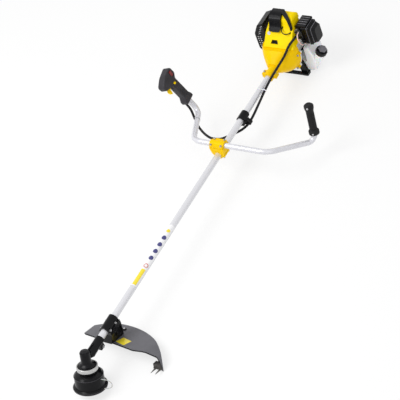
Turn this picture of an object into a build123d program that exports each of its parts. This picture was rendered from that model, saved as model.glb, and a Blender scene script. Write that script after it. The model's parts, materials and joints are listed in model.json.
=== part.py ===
from build123d import *
import os
from math import cos, radians, sin, sqrt, tan

# A petrol string trimmer with a bike handle.
# X runs along the shaft from the engine to the cutting head, Y to the operator's left, Z up.
# The pieces are placed from the shaft's axis, with X = 0 under the handlebar.
# The saved frame has its origin in the eye that the harness hooks into.

# Clearances
RUN_GAP = 0.05
SEAT_GAP = 0.1
FACE_GAP = 0.4
SPLIT_GAP = 1.5

# Cap screws, all of one size
SCREW_D = 5.0
SCREW_LENGTH = 14.0
SCREW_HEAD_D = 8.5
SCREW_HEAD_HEIGHT = 4.5
HEAD_ROOM = 10.0

# Shaft tube and drive shaft
SHAFT_OD = 26.0
SHAFT_WALL = 1.5
SHAFT_LENGTH = 1470.0
SHAFT_REAR_X = -470.0
DRIVE_D = 8.0
BUSH_COUNT = 5
BUSH_LENGTH = 18.0
BUSH_END_SPACE = 90.0

# Floor that the trimmer rests on, below the shaft's axis
FLOOR_DEPTH = 130.0

# Handlebar, its clamp and its two bent arms
BAR_D = 22.0
BAR_WALL = 2.0
BAR_HEIGHT = 36.0
BAR_BEND_R = 58.0
BAR_ELBOW_R = 28.0
LEFT_REACH = 220.0
LEFT_ARM_BACK = 172.0
LEFT_ARM_OUT = 104.0
LEFT_ARM_DROP = 88.0
LEFT_GRIP_LEAN_BACK = 7.5
LEFT_GRIP_LEAN_OUT = 1.4
LEFT_END_LENGTH = 172.0
RIGHT_REACH = 116.0
RIGHT_ARM_BACK = 210.0
RIGHT_ARM_OUT = 111.0
RIGHT_ARM_DROP = 60.0
RIGHT_GRIP_LEAN_FORWARD = 8.7
RIGHT_GRIP_LEAN_OUT = 17.4
RIGHT_END_LENGTH = 132.0
CLAMP_LENGTH = 46.0
CLAMP_WIDTH = 64.0
CLAMP_FOOT_WIDTH = 52.0
CLAMP_WALL = 6.0
CLAMP_PLATE = 9.0
CLAMP_BOLT_X = 17.5
CLAMP_BOLT_Y = 23.0
CLAMP_FOOT_BOLT_Y = 20.5

# Left-hand rubber grip
GRIP_LENGTH = 138.0
GRIP_R = 15.5
GRIP_COLLAR_R = 21.0
GRIP_COLLAR_HEIGHT = 12.0
GRIP_BULB_R = 19.0
GRIP_END_WALL = 5.0
GRIP_RIB_COUNT = 9
GRIP_RIB_DEPTH = 1.2

# Throttle grip: a handle with a large D-shaped head, in two moulded halves
THROTTLE_START = 72.0
THROTTLE_HALF_WIDTH = 18.0
THROTTLE_FOOT_FRONT = 29.0
THROTTLE_FOOT_REAR = 23.0
THROTTLE_HANDLE_HALF = 17.0
THROTTLE_HANDLE_LENGTH = 99.0
THROTTLE_HEAD_FRONT = 60.0
THROTTLE_HEAD_REAR = 33.0
THROTTLE_LENGTH = 168.0
THROTTLE_EDGE_R = 6.0
THROTTLE_BAR_DEPTH = 58.0
HANDLE_GROOVES = 7
HANDLE_GROOVE_PITCH = 6.0
TRIGGER_WIDTH = 13.0
TRIGGER_PIVOT_FRONT = 26.0
TRIGGER_PIVOT_UP = 122.0
TRIGGER_REACH = 46.0
TRIGGER_DROP = 36.0
LOCKOUT_WIDTH = 8.0
LOCKOUT_PROUD = 5.0
BUTTON_R = 5.0
BUTTON_PROUD = 4.0
BUTTON_TRAVEL = 3.0
BUTTON_UP = 110.0
BUTTON_FRONT = 5.0
SWITCH_LENGTH = 22.0
SWITCH_WIDTH = 12.0
SWITCH_UP = 146.0
SWITCH_BACK = 14.0
SWITCH_SWING = 2.4
SWITCH_PIVOT_DEPTH = 6.0
CONTROL_PIN_R = 2.0

# Hanger clamp with the harness eye
HANGER_X = -190.0
HANGER_LENGTH = 44.0
HANGER_WALL = 4.5
EYE_X = -178.0
EYE_Y = 33.0
EYE_Z = -8.0
EYE_R = 6.0
EYE_RIM = 6.0
EYE_THICKNESS = 14.0

# Throttle conduit
CONDUIT_D = 10.0

# Gear case on the front end of the shaft
GEAR_REACH = 52.0
HEAD_TILT = 70.0
NECK_R = 17.0
NECK_REACH = 50.0
CASE_R = 19.0
CASE_TOP = 40.0
CASE_FLANGE_R = 33.5
CASE_FLANGE_TOP = -15.0
CASE_FLANGE_BOTTOM = -22.0
CASE_WALL = 4.0
PINION_TEETH = 14
GEAR_TEETH = 19
CONE_LENGTH = 20.0
TOOTH_FACE = 6.0
TOOTH_DEPTH = 1.3
OUTPUT_R = 5.0
OUTPUT_TOP = 31.0
OUTPUT_BOTTOM = -58.0
BEARING_WIDTH = 9.0

# Cutting head, measured down its own axis from the shaft's axis
COLLAR_R = 39.0
COLLAR_LIP = 3.5
COLLAR_TOP = -19.5
COLLAR_FLOOR = -25.0
COLLAR_BOTTOM = -37.0
HUB_R = 31.0
HUB_SHOULDER = -45.0
SHELL_TOP_R = 53.5
SHELL_TOP = -58.0
SHELL_R = 55.0
SHELL_BOTTOM = -98.0
SHELL_WALL = 3.5
SPINDLE_R = 13.0
SPINDLE_BORE_R = 9.0
SPINDLE_BOTTOM = -96.0
SPOOL_R = 50.0
SPOOL_CORE_R = 18.0
SPOOL_FLANGE = 3.0
RIM_R = 62.5
RIM_BOTTOM = -109.0
RIM_BASE = -114.0
KNOB_R = 28.0
KNOB_BOTTOM = -122.0
KNOB_TRAVEL = 6.0
LINE_D = 3.0
LINE_EXIT = -67.0

# Guard, laid out around the head's axis, with its skirt ending at the floor
GUARD_R = 266.0
GUARD_SHEET = 3.5
GUARD_DROP = 12.0
GUARD_LEFT_Y = -139.0
GUARD_RIGHT_Y = 228.0
GUARD_INNER = 150.0
BRACKET_FRONT_GAP = 82.0
BRACKET_LENGTH = 66.0
BRACKET_WALL = 7.0
BRACKET_SPLIT = -9.0
BRACKET_EAR = 7.0
CUTTER_THICKNESS = 2.0
CUTTER_LENGTH = 62.0
CUTTER_WIDTH = 44.0
CUTTER_END_GAP = 9.0

# Engine: stations behind the shaft's rear end, and radii about the crank axis
NOSE_GRIP = 53.0
NOSE_R = 21.0
NOSE_LUG_OUT = 32.0
DRUM_R = 33.0
DRUM_WALL = 3.0
FLYWHEEL_R = 58.0
FAN_BLADES = 14
FAN_R = 80.0
FAN_REAR_SETBACK = 90.0
FAN_WALL = 4.0
FAN_FLAT = 6.0
CRANK_R = 8.0
CRANKCASE_R = 50.0
CRANKCASE_LENGTH = 90.0
DECK_HEIGHT = 52.0
CYLINDER_SETBACK = 145.0
FIN_SIZE = 82.0
FIN_LENGTH = 62.0
FIN_COUNT = 7
FIN_PITCH = 8.0
FIN_THICKNESS = 2.5
SEAM_HEIGHT = 57.0
SHROUD_TOP = 162.0
SHROUD_WALL = 3.0
SHROUD_RIGHT = -60.0
SHROUD_LEFT = 80.0
PLUG_COVER_RIGHT = -40.0
PLUG_COVER_LEFT = 13.0
PLUG_COVER_HEIGHT = 10.0
PLUG_COVER_LOW = 112.0
MUFFLER_OUT = 104.0
COVER_OUT = 120.0
COVER_FRONT_SETBACK = 102.0
COVER_LENGTH = 88.0
COVER_BOTTOM = -17.0
COVER_TOP = 140.0
COVER_WALL = 2.5
VENT_ROWS = 7
CARB_Y = 68.0
CARB_DEPTH = 24.0
CARB_BOTTOM = 60.0
CARB_TOP = 98.0
FILTER_FRONT_SETBACK = 128.0
FILTER_LENGTH = 62.0
FILTER_BOTTOM = 33.0
FILTER_TOP = 119.0
FILTER_BASE_DEPTH = 26.0
FILTER_COVER_DEPTH = 33.0
FILTER_WALL = 3.0
TANK_FRONT_SETBACK = 130.0
TANK_LENGTH = 86.0
TANK_FLOOR = -118.0
TANK_TOP = -68.0
TANK_SHOULDER = 8.0
TANK_RIGHT = -92.0
TANK_LEFT = 108.0
TANK_WALL = 2.5
CAP_R = 23.0
CAP_HEIGHT = 20.0
CAP_RIBS = 14
NECK_TILT = 33.0
STAND_HALF_WIDTH = 66.0
STAND_RAIL = 14.0
STAND_FRONT_SETBACK = 106.0
STAND_UPRIGHT = 13.0
STAND_LENGTH = 108.0
STARTER_R = 64.0
STARTER_DEPTH = 42.0
PULLEY_R = 28.0
ROPE_D = 3.5
HANDLE_WIDTH = 56.0
HANDLE_RISE = 78.0
LEAD_D = 4.0
FUEL_LINE_D = 5.0

# Derived stations and radii
SHAFT_R = SHAFT_OD / 2
SHAFT_BORE_R = SHAFT_R - SHAFT_WALL
SHAFT_SEAT_R = SHAFT_R + SEAT_GAP
DRIVE_R = DRIVE_D / 2
SHAFT_FRONT_X = SHAFT_REAR_X + SHAFT_LENGTH
HEAD_X = SHAFT_FRONT_X + GEAR_REACH
BAR_R = BAR_D / 2
BAR_SEAT_R = BAR_R + SEAT_GAP
FLOOR_Z = -FLOOR_DEPTH
NOSE_X = SHAFT_REAR_X + NOSE_GRIP
FAN_REAR_X = SHAFT_REAR_X - FAN_REAR_SETBACK
CRANKCASE_REAR_X = FAN_REAR_X - CRANKCASE_LENGTH
UPRIGHT_X0 = SHAFT_REAR_X - TANK_FRONT_SETBACK + FACE_GAP
UPRIGHT_X1 = UPRIGHT_X0 + STAND_UPRIGHT
CYLINDER_X = SHAFT_REAR_X - CYLINDER_SETBACK
HUB_FRONT_X = SHAFT_REAR_X - 5.0
DRUM_WEB_X = SHAFT_REAR_X - 24.0
DRUM_REAR_X = SHAFT_REAR_X - 49.5
FLYWHEEL_FRONT_X = SHAFT_REAR_X - 50.0
FIN_BASE_Z = DECK_HEIGHT + 6.0
CYLINDER_TOP_Z = FIN_BASE_Z + FIN_COUNT * FIN_PITCH
STARTER_REAR_X = CRANKCASE_REAR_X - STARTER_DEPTH
PULLEY_X = CRANKCASE_REAR_X - 14.0
FILTER_Y = CARB_Y + CARB_DEPTH + FACE_GAP

# Working frames
TILT_COS = cos(radians(HEAD_TILT))
TILT_SIN = sin(radians(HEAD_TILT))
HEAD = Plane(origin=(HEAD_X, 0, 0), x_dir=(TILT_SIN, 0, TILT_COS), z_dir=(-TILT_COS, 0, TILT_SIN))
LEFT_BEND = Vector(0, LEFT_REACH, BAR_HEIGHT)
LEFT_ELBOW = LEFT_BEND + Vector(-LEFT_ARM_BACK, LEFT_ARM_OUT, -LEFT_ARM_DROP)
LEFT_UP = Vector(-tan(radians(LEFT_GRIP_LEAN_BACK)), tan(radians(LEFT_GRIP_LEAN_OUT)), 1).normalized()
RIGHT_BEND = Vector(0, -RIGHT_REACH, BAR_HEIGHT)
RIGHT_ELBOW = RIGHT_BEND + Vector(-RIGHT_ARM_BACK, -RIGHT_ARM_OUT, -RIGHT_ARM_DROP)
RIGHT_UP = Vector(
    tan(radians(RIGHT_GRIP_LEAN_FORWARD)), -tan(radians(RIGHT_GRIP_LEAN_OUT)), 1
).normalized()
RIGHT_FRONT = (Vector(1, 0, 0) - RIGHT_UP * RIGHT_UP.X).normalized()
LEFT_FRONT = (Vector(1, 0, 0) - LEFT_UP * LEFT_UP.X).normalized()
THROTTLE = Plane(origin=RIGHT_ELBOW + RIGHT_UP * THROTTLE_START, x_dir=RIGHT_FRONT, z_dir=RIGHT_UP)
LEFT_GRIP = Plane(
    origin=LEFT_ELBOW + LEFT_UP * (LEFT_END_LENGTH - GRIP_LENGTH + GRIP_END_WALL + SEAT_GAP),
    x_dir=LEFT_FRONT,
    z_dir=LEFT_UP,
)
HOME = Location((-EYE_X, -EYE_Y, -EYE_Z))


def station(x, y=0.0, z=0.0):
    """A plane across the shaft: local X is Y, local Y is Z, and its normal points to the head."""
    return Plane(origin=(x, y, z), x_dir=(0, 1, 0), z_dir=(1, 0, 0))


def rod(radius, x0, x1, y=0.0, z=0.0):
    """A round bar along the shaft's direction between two stations."""
    return extrude(station(min(x0, x1), y, z) * Circle(radius), abs(x1 - x0))


def pipe(outer, inner, x0, x1):
    """A ring along the shaft's direction."""
    ring = Circle(outer) - Circle(inner)
    return extrude(station(min(x0, x1)) * ring, abs(x1 - x0))


def block(x0, x1, y0, y1, z0, z1):
    """A box between two corners."""
    return Pos((x0 + x1) / 2, (y0 + y1) / 2, (z0 + z1) / 2) * Box(abs(x1 - x0), abs(y1 - y0), abs(z1 - z0))


def turned(profile):
    """A body of revolution about local Z, from (radius, height) points."""
    face = make_face(Plane.XZ * Polyline(*profile, close=True))
    return revolve(face, Axis.Z)


def turned_on_shaft(profile):
    """A body of revolution about the shaft's axis, from (radius, station) points."""
    return station(0).location * turned(profile)


def rounded(points, radii):
    """A closed outline with one corner radius for each point."""
    return make_face(FilletPolyline(*points, radius=radii, close=True))


def side_face(sketch):
    """Lay a sketch of (station, height) on the vertical plane through the shaft."""
    return Plane.XZ * sketch


def through_y(sketch, y0, y1):
    """Extrude a (station, height) outline from one Y to another."""
    return Pos(0, y1, 0) * extrude(side_face(sketch), y1 - y0)


def through_x(sketch, x0, x1):
    """Extrude a (Y, height) outline from one station to another."""
    return extrude(station(x0) * sketch, x1 - x0)


def tube_path(points):
    """A route of straight runs joined by arcs, each as large as its two runs allow."""
    places = [Vector(*p) for p in points]
    radii = []
    for before, here, after in zip(places, places[1:], places[2:]):
        run = min((here - before).length, (after - here).length)
        turn = radians((here - before).get_angle(after - here))
        radii.append(0.45 * run / tan(turn / 2))
    return FilletPolyline(*places, radius=radii)


def cord(points, diameter):
    """A round cord along a route."""
    path = tube_path(points)
    start = Plane(origin=path @ 0, z_dir=path % 0)
    return sweep(start * Circle(diameter / 2), path)


def screw(place):
    """A cap screw whose head sits on a plane, with its shank into the material below."""
    head = extrude(place * Circle(SCREW_HEAD_D / 2), SCREW_HEAD_HEIGHT)
    shank = extrude(place * Circle(SCREW_D / 2), -SCREW_LENGTH)
    return head + shank


def screw_hole(place):
    """Room for a cap screw's shank, and for its head above the plane."""
    hole = extrude(place * Circle(SCREW_D / 2 + SEAT_GAP), -SCREW_LENGTH - SEAT_GAP)
    room = extrude(place * Circle(SCREW_HEAD_D / 2 + SEAT_GAP), SCREW_HEAD_HEIGHT + HEAD_ROOM)
    return hole + room


def save(name, *solids):
    """Write one node, moved into the frame whose origin is the harness eye."""
    placed = [HOME * solid for solid in solids]
    shape = placed[0] if len(placed) == 1 else Compound(children=placed)
    export_step(shape, f"parts/{name}.step")


# Places of the cap screws, each a plane whose normal points out of the screw's head
CLAMP_TOP_SCREWS = [
    Plane(origin=(x, y, BAR_HEIGHT + CLAMP_PLATE), z_dir=(0, 0, 1))
    for x in (-CLAMP_BOLT_X, CLAMP_BOLT_X)
    for y in (-CLAMP_BOLT_Y, CLAMP_BOLT_Y)
]
CLAMP_LOW_SCREWS = [
    Plane(origin=(x, y, -CLAMP_PLATE), z_dir=(0, 0, -1))
    for x in (-CLAMP_BOLT_X, CLAMP_BOLT_X)
    for y in (-CLAMP_FOOT_BOLT_Y, CLAMP_FOOT_BOLT_Y)
]
HANGER_EAR_Z = -SHAFT_R - HANGER_WALL - SCREW_D
HANGER_SCREWS = [
    Plane(origin=(HANGER_X + dx, SCREW_LENGTH / 2 + 1, HANGER_EAR_Z), z_dir=(0, 1, 0))
    for dx in (-HANGER_LENGTH / 4, HANGER_LENGTH / 4)
]
BRACKET_X1 = SHAFT_FRONT_X - BRACKET_FRONT_GAP
BRACKET_X0 = BRACKET_X1 - BRACKET_LENGTH
BRACKET_EAR_Y = SHAFT_R + BRACKET_WALL + 0.5
BRACKET_HALF = BRACKET_EAR_Y + SCREW_HEAD_D / 2 + 0.5
BRACKET_SCREWS = [
    Plane(origin=(x, side * BRACKET_EAR_Y, BRACKET_SPLIT + BRACKET_EAR), z_dir=(0, 0, 1))
    for x in (BRACKET_X0 + 20.0, BRACKET_X1 - 10.0)
    for side in (-1, 1)
]
NECK_CLAMP_X = SHAFT_FRONT_X - 32.0
NECK_SCREWS = [Plane(origin=(NECK_CLAMP_X, 13.0, -NECK_R - 5.0), z_dir=(0, 1, 0))]
NOSE_SCREWS = [
    Plane(origin=(SHAFT_REAR_X + 32.0, side * (NOSE_LUG_OUT - 7.0), 9.0), z_dir=(0, 0, 1)) for side in (-1, 1)
]
FAN_SCREW_SPOTS = [
    (-FAN_R, -6.0),
    (FAN_R, 18.0),
    (10.0, FAN_FLAT - FAN_R - 2.0),
    (-0.72 * FAN_R, -0.7 * FAN_R),
    (0.74 * FAN_R, -0.68 * FAN_R),
]
FAN_SCREWS = [station(FAN_REAR_X + SCREW_LENGTH, y, z) for y, z in FAN_SCREW_SPOTS]


def holes(body, places):
    """Cut the holes of a list of screws."""
    for place in places:
        body -= screw_hole(place)
    return body


# Shaft

def shaft_tube():
    return pipe(SHAFT_R, SHAFT_BORE_R, SHAFT_REAR_X, SHAFT_FRONT_X)


def drive_shaft():
    return rod(DRIVE_R, DRUM_WEB_X + 2.0, PINION_BACK_X + 1.0)


def drive_bushes():
    first = SHAFT_REAR_X + BUSH_END_SPACE
    step = (SHAFT_LENGTH - 2 * BUSH_END_SPACE - BUSH_LENGTH) / (BUSH_COUNT - 1)
    rings = []
    for i in range(BUSH_COUNT):
        x = first + i * step
        rings.append(pipe(SHAFT_BORE_R - SEAT_GAP, DRIVE_R + RUN_GAP, x, x + BUSH_LENGTH))
    return rings


def hanger_clamp():
    band_r = SHAFT_R + HANGER_WALL
    x0 = HANGER_X - HANGER_LENGTH / 2
    x1 = HANGER_X + HANGER_LENGTH / 2
    body = rod(band_r, x0, x1)
    ear = SCREW_LENGTH / 2 + 1
    body += block(x0, x1, -ear, ear, HANGER_EAR_Z - 6, 0)
    eye = Circle(EYE_R + EYE_RIM)
    lug = Pos(EYE_Y, EYE_Z) * eye + make_hull((Pos(EYE_Y, EYE_Z) * eye).edges() + Circle(SHAFT_R).edges())
    body += extrude(station(EYE_X - EYE_THICKNESS / 2) * lug, EYE_THICKNESS)
    body -= rod(SHAFT_SEAT_R, x0 - 1, x1 + 1)
    body -= rod(EYE_R, EYE_X - EYE_THICKNESS, EYE_X + EYE_THICKNESS, EYE_Y, EYE_Z)
    body -= block(x0 - 1, x1 + 1, -SPLIT_GAP / 2, SPLIT_GAP / 2, HANGER_EAR_Z - 7, -SHAFT_R + 3)
    return holes(body, HANGER_SCREWS)


# Handlebar

def handlebar():
    left_end = LEFT_ELBOW + LEFT_UP * LEFT_END_LENGTH
    right_end = RIGHT_ELBOW + RIGHT_UP * RIGHT_END_LENGTH
    path = FilletPolyline(
        right_end, RIGHT_ELBOW, RIGHT_BEND, LEFT_BEND, LEFT_ELBOW, left_end,
        radius=[BAR_ELBOW_R, BAR_BEND_R, BAR_BEND_R, BAR_ELBOW_R],
    )
    start = Plane(origin=path @ 0, z_dir=path % 0)
    return sweep(start * (Circle(BAR_R) - Circle(BAR_R - BAR_WALL)), path)


def bar_room():
    bar = Plane(origin=(0, -CLAMP_WIDTH, BAR_HEIGHT), z_dir=(0, 1, 0))
    return extrude(bar * Circle(BAR_SEAT_R), 2 * CLAMP_WIDTH)


def clamp_saddle():
    half = CLAMP_LENGTH / 2
    outline = rounded(
        [
            (-CLAMP_FOOT_WIDTH / 2, SPLIT_GAP / 2),
            (CLAMP_FOOT_WIDTH / 2, SPLIT_GAP / 2),
            (CLAMP_WIDTH / 2, BAR_HEIGHT - SPLIT_GAP / 2),
            (-CLAMP_WIDTH / 2, BAR_HEIGHT - SPLIT_GAP / 2),
        ],
        [2.0, 2.0, 2.0, 2.0],
    )
    body = through_x(outline, -half, half)
    body -= rod(SHAFT_SEAT_R, -half - 1, half + 1)
    body -= bar_room()
    return holes(body, CLAMP_TOP_SCREWS + CLAMP_LOW_SCREWS)


def clamp_cap():
    """The upper cap: a hump over the bar on a plate that takes the four bolts."""
    half = CLAMP_LENGTH / 2
    low = BAR_HEIGHT + SPLIT_GAP / 2
    plan = RectangleRounded(CLAMP_LENGTH, CLAMP_WIDTH, 7)
    plate = Pos(0, 0, low) * extrude(plan, CLAMP_PLATE - SPLIT_GAP / 2)
    bar = Plane(origin=(0, -CLAMP_WIDTH / 2, BAR_HEIGHT), z_dir=(0, 1, 0))
    hump = extrude(bar * Circle(BAR_R + CLAMP_WALL), CLAMP_WIDTH)
    above = block(-half, half, -CLAMP_WIDTH, CLAMP_WIDTH, low, low + CLAMP_WIDTH)
    body = plate + (hump & above)
    body -= bar_room()
    return holes(body, CLAMP_TOP_SCREWS)


def clamp_foot():
    """The lower cap: a hump under the shaft on a plate that takes the four bolts."""
    half = CLAMP_LENGTH / 2
    high = -SPLIT_GAP / 2
    plan = RectangleRounded(CLAMP_LENGTH, CLAMP_FOOT_WIDTH, 6)
    plate = Pos(0, 0, -CLAMP_PLATE) * extrude(plan, CLAMP_PLATE - SPLIT_GAP / 2)
    hump = rod(SHAFT_R + CLAMP_WALL, -half, half)
    below = block(-half, half, -CLAMP_FOOT_WIDTH, CLAMP_FOOT_WIDTH, high - CLAMP_FOOT_WIDTH, high)
    body = plate + (hump & below)
    body -= rod(SHAFT_SEAT_R, -half - 1, half + 1)
    return holes(body, CLAMP_LOW_SCREWS)


def left_grip():
    top = GRIP_LENGTH
    profile = [
        (0, top),
        (GRIP_BULB_R - 6.0, top),
        (GRIP_BULB_R, top - 6.0),
        (GRIP_BULB_R, top - 16.0),
        (GRIP_R, top - 30.0),
        (GRIP_R, GRIP_COLLAR_HEIGHT + 8.0),
        (GRIP_COLLAR_R, GRIP_COLLAR_HEIGHT),
        (GRIP_COLLAR_R, 0),
        (BAR_SEAT_R, 0),
        (BAR_SEAT_R, top - GRIP_END_WALL),
        (0, top - GRIP_END_WALL),
    ]
    body = turned(profile)
    pitch = (GRIP_LENGTH - 56.0) / GRIP_RIB_COUNT
    groove = Circle(GRIP_R + 2.0) - Circle(GRIP_R - GRIP_RIB_DEPTH)
    for i in range(GRIP_RIB_COUNT):
        body -= extrude(Pos(0, 0, GRIP_COLLAR_HEIGHT + 12.0 + i * pitch) * groove, pitch / 3)
    return LEFT_GRIP.location * body


# Throttle grip, drawn in its own frame: X to the front, Y to the operator's left, Z up the handle

def throttle_outline():
    """The side view of the handle: a flared foot, a straight handle and the D-shaped head."""
    handle = THROTTLE_HANDLE_HALF
    top = THROTTLE_HANDLE_LENGTH
    return rounded(
        [
            (-THROTTLE_FOOT_REAR, 0),
            (THROTTLE_FOOT_FRONT, 0),
            (THROTTLE_FOOT_FRONT, 16),
            (handle, 32),
            (handle, top + 8),
            (THROTTLE_HEAD_FRONT - 3, top + 23),
            (THROTTLE_HEAD_FRONT, THROTTLE_LENGTH - 22),
            (THROTTLE_HEAD_FRONT - 38, THROTTLE_LENGTH - 5),
            (-THROTTLE_HEAD_REAR + 7, THROTTLE_LENGTH),
            (-THROTTLE_HEAD_REAR, THROTTLE_LENGTH - 10),
            (-THROTTLE_HEAD_REAR, top + 34),
            (-handle, top + 18),
            (-handle, 30),
            (-THROTTLE_FOOT_REAR, 14),
        ],
        [5, 5, 6, 8, 8, 8, 14, 60, 9, 8, 10, 12, 6, 5],
    )


def trigger_outline():
    """The trigger's side view, hung from its pivot inside the head's front."""
    front = TRIGGER_PIVOT_FRONT
    up = TRIGGER_PIVOT_UP
    return rounded(
        [
            (front - 5, up + 5),
            (front + 5, up + 5),
            (front + 11, up - 6),
            (TRIGGER_REACH, up - 22),
            (TRIGGER_REACH - 3, up - TRIGGER_DROP),
            (TRIGGER_REACH - 9, up - TRIGGER_DROP + 1),
            (front + 8, up - 20),
            (front - 5, up - 8),
        ],
        [3, 3, 6, 6, 2.5, 2.5, 6, 3],
    )


def control_pin(front, up, half):
    """A round pin across the grip."""
    pin = Plane(origin=(front, -half, up), x_dir=(1, 0, 0), z_dir=(0, 1, 0))
    return extrude(pin * Circle(CONTROL_PIN_R), 2 * half)


LOCKOUT_PIVOT = (-9.0, THROTTLE_HANDLE_LENGTH + 3.0)
LOCKOUT_LENGTH = 34.0


def across_grip(front, side, up):
    """A plane in the grip that faces its left side."""
    return Plane(origin=(front, side, up), x_dir=(1, 0, 0), z_dir=(0, 1, 0))


def switch_pin(round_gap, end_gap):
    """The stop switch's pivot pin, grown by a clearance where it is cut out of the grip."""
    length = SWITCH_WIDTH + 4 + 2 * end_gap
    start = (-SWITCH_BACK - length / 2, THROTTLE_HALF_WIDTH - SWITCH_PIVOT_DEPTH, SWITCH_UP)
    pin = Plane(origin=start, x_dir=(0, 1, 0), z_dir=(1, 0, 0))
    return extrude(pin * Circle(CONTROL_PIN_R + round_gap), length)


def throttle_rooms():
    """The hollow places in the grip: the bar's socket, trigger, lockout, button and switch."""
    bar = Cylinder(BAR_SEAT_R, 2 * THROTTLE_BAR_DEPTH + 4)
    half = TRIGGER_WIDTH / 2 + FACE_GAP
    front = TRIGGER_PIVOT_FRONT
    rooms = bar + block(front - 11, front + 22, -half, half, TRIGGER_PIVOT_UP - 30, TRIGGER_PIVOT_UP + 9)
    low = LOCKOUT_PIVOT[1] - LOCKOUT_LENGTH - 2
    half = LOCKOUT_WIDTH / 2 + FACE_GAP
    rooms += block(-THROTTLE_HANDLE_HALF - 30, -4, -half, half, low, LOCKOUT_PIVOT[1] + 6)
    button = across_grip(BUTTON_FRONT, THROTTLE_HALF_WIDTH - 12, BUTTON_UP)
    rooms += extrude(button * Circle(BUTTON_R + FACE_GAP), 30)
    rocker = across_grip(-SWITCH_BACK, THROTTLE_HALF_WIDTH - 10, SWITCH_UP)
    rooms += extrude(rocker * Rectangle(SWITCH_WIDTH + 2 * FACE_GAP, SWITCH_LENGTH + 2 * SWITCH_SWING), 30)
    return rooms + switch_pin(RUN_GAP, FACE_GAP)


def throttle_half(side):
    """One moulded half of the throttle grip, with rounded outer edges."""
    outline = throttle_outline()
    face = side * THROTTLE_HALF_WIDTH
    body = through_y(outline, min(0, face), max(0, face))
    outer = body.faces().sort_by(Axis.Y)[-1 if side > 0 else 0]
    body = fillet(outer.edges(), THROTTLE_EDGE_R)
    body -= throttle_rooms()
    for i in range(HANDLE_GROOVES):
        up = 32 + i * HANDLE_GROOVE_PITCH
        depth = side * THROTTLE_HALF_WIDTH
        body -= block(-12, 12, depth - side * 1.2, depth + side, up, up + HANDLE_GROOVE_PITCH / 3)
    body -= control_pin(TRIGGER_PIVOT_FRONT, TRIGGER_PIVOT_UP, TRIGGER_WIDTH / 2 + 4 + SEAT_GAP)
    body -= control_pin(LOCKOUT_PIVOT[0], LOCKOUT_PIVOT[1], LOCKOUT_WIDTH / 2 + 4 + SEAT_GAP)
    return THROTTLE.location * body


def throttle_trigger():
    body = through_y(trigger_outline(), -TRIGGER_WIDTH / 2, TRIGGER_WIDTH / 2)
    pin = Plane(origin=(TRIGGER_PIVOT_FRONT, -TRIGGER_WIDTH / 2 - 4, TRIGGER_PIVOT_UP), z_dir=(0, 1, 0))
    body += extrude(pin * Circle(CONTROL_PIN_R - RUN_GAP), TRIGGER_WIDTH + 8)
    return THROTTLE.location * body


def trigger_lockout():
    front, up = LOCKOUT_PIVOT
    back = -THROTTLE_HANDLE_HALF - LOCKOUT_PROUD
    outline = rounded(
        [
            (front + 3.5, up + 3.5),
            (front - 4, up + 3.5),
            (back, up - 10),
            (back, up - LOCKOUT_LENGTH + 8),
            (back + 7, up - LOCKOUT_LENGTH),
            (front + 3.5, up - 8),
        ],
        [2, 2, 4, 3, 1, 2],
    )
    body = through_y(outline, -LOCKOUT_WIDTH / 2, LOCKOUT_WIDTH / 2)
    pin = Plane(origin=(front, -LOCKOUT_WIDTH / 2 - 4, up), z_dir=(0, 1, 0))
    body += extrude(pin * Circle(CONTROL_PIN_R - RUN_GAP), LOCKOUT_WIDTH + 8)
    return THROTTLE.location * body


def throttle_lock_button():
    foot = THROTTLE_HALF_WIDTH - 12 + BUTTON_TRAVEL + FACE_GAP
    button = Plane(origin=(BUTTON_FRONT, foot, BUTTON_UP), x_dir=(1, 0, 0), z_dir=(0, 1, 0))
    body = extrude(button * Circle(BUTTON_R), THROTTLE_HALF_WIDTH + BUTTON_PROUD - foot)
    body = fillet(body.edges().sort_by(Axis.Y)[-1], 1.5)
    return THROTTLE.location * body


def stop_switch():
    foot = THROTTLE_HALF_WIDTH - 10 + 3
    rocker = rounded(
        [
            (foot, SWITCH_UP - SWITCH_LENGTH / 2),
            (THROTTLE_HALF_WIDTH + 1, SWITCH_UP - SWITCH_LENGTH / 2),
            (THROTTLE_HALF_WIDTH + 1, SWITCH_UP),
            (THROTTLE_HALF_WIDTH + 4, SWITCH_UP + SWITCH_LENGTH / 2),
            (foot, SWITCH_UP + SWITCH_LENGTH / 2),
        ],
        [1, 1, 6, 1, 1],
    )
    place = Plane(origin=(-SWITCH_BACK - SWITCH_WIDTH / 2, 0, 0), x_dir=(0, 1, 0), z_dir=(1, 0, 0))
    body = extrude(place * rocker, SWITCH_WIDTH) + switch_pin(0, 0)
    return THROTTLE.location * body


CONDUIT_SOCKET = BAR_R + CONDUIT_D / 2 + 1.0


def throttle_conduit():
    exit_point = THROTTLE.from_local_coords(Vector(14, -CONDUIT_SOCKET + 4, -0.2))
    follow = THROTTLE.from_local_coords(Vector(12, -CONDUIT_SOCKET, -42))
    return cord(
        [
            tuple(exit_point),
            tuple(follow),
            (-190, -248, -44),
            (-160, -218, -66),
            (-124, -168, -62),
            (-92, -112, -46),
            (-86, -58, -33),
            (-112, -26, -30),
            (-148, 6, -31),
            (-180, 22, -27),
            (-222, 29, -14),
            (-290, 27, -2),
            (-352, 26, 10),
            (-402, 27, 18),
            (-448, 35, 30),
            (-500, 49, 49),
            (-532, 62, 80),
            (-560, 79, 96),
            (CYLINDER_X + 27.0, CARB_Y + 8, 86),
        ],
        CONDUIT_D,
    )


# Gear case and cutting head, drawn in the head's own frame: Z up the head's axis, X forward

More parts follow.
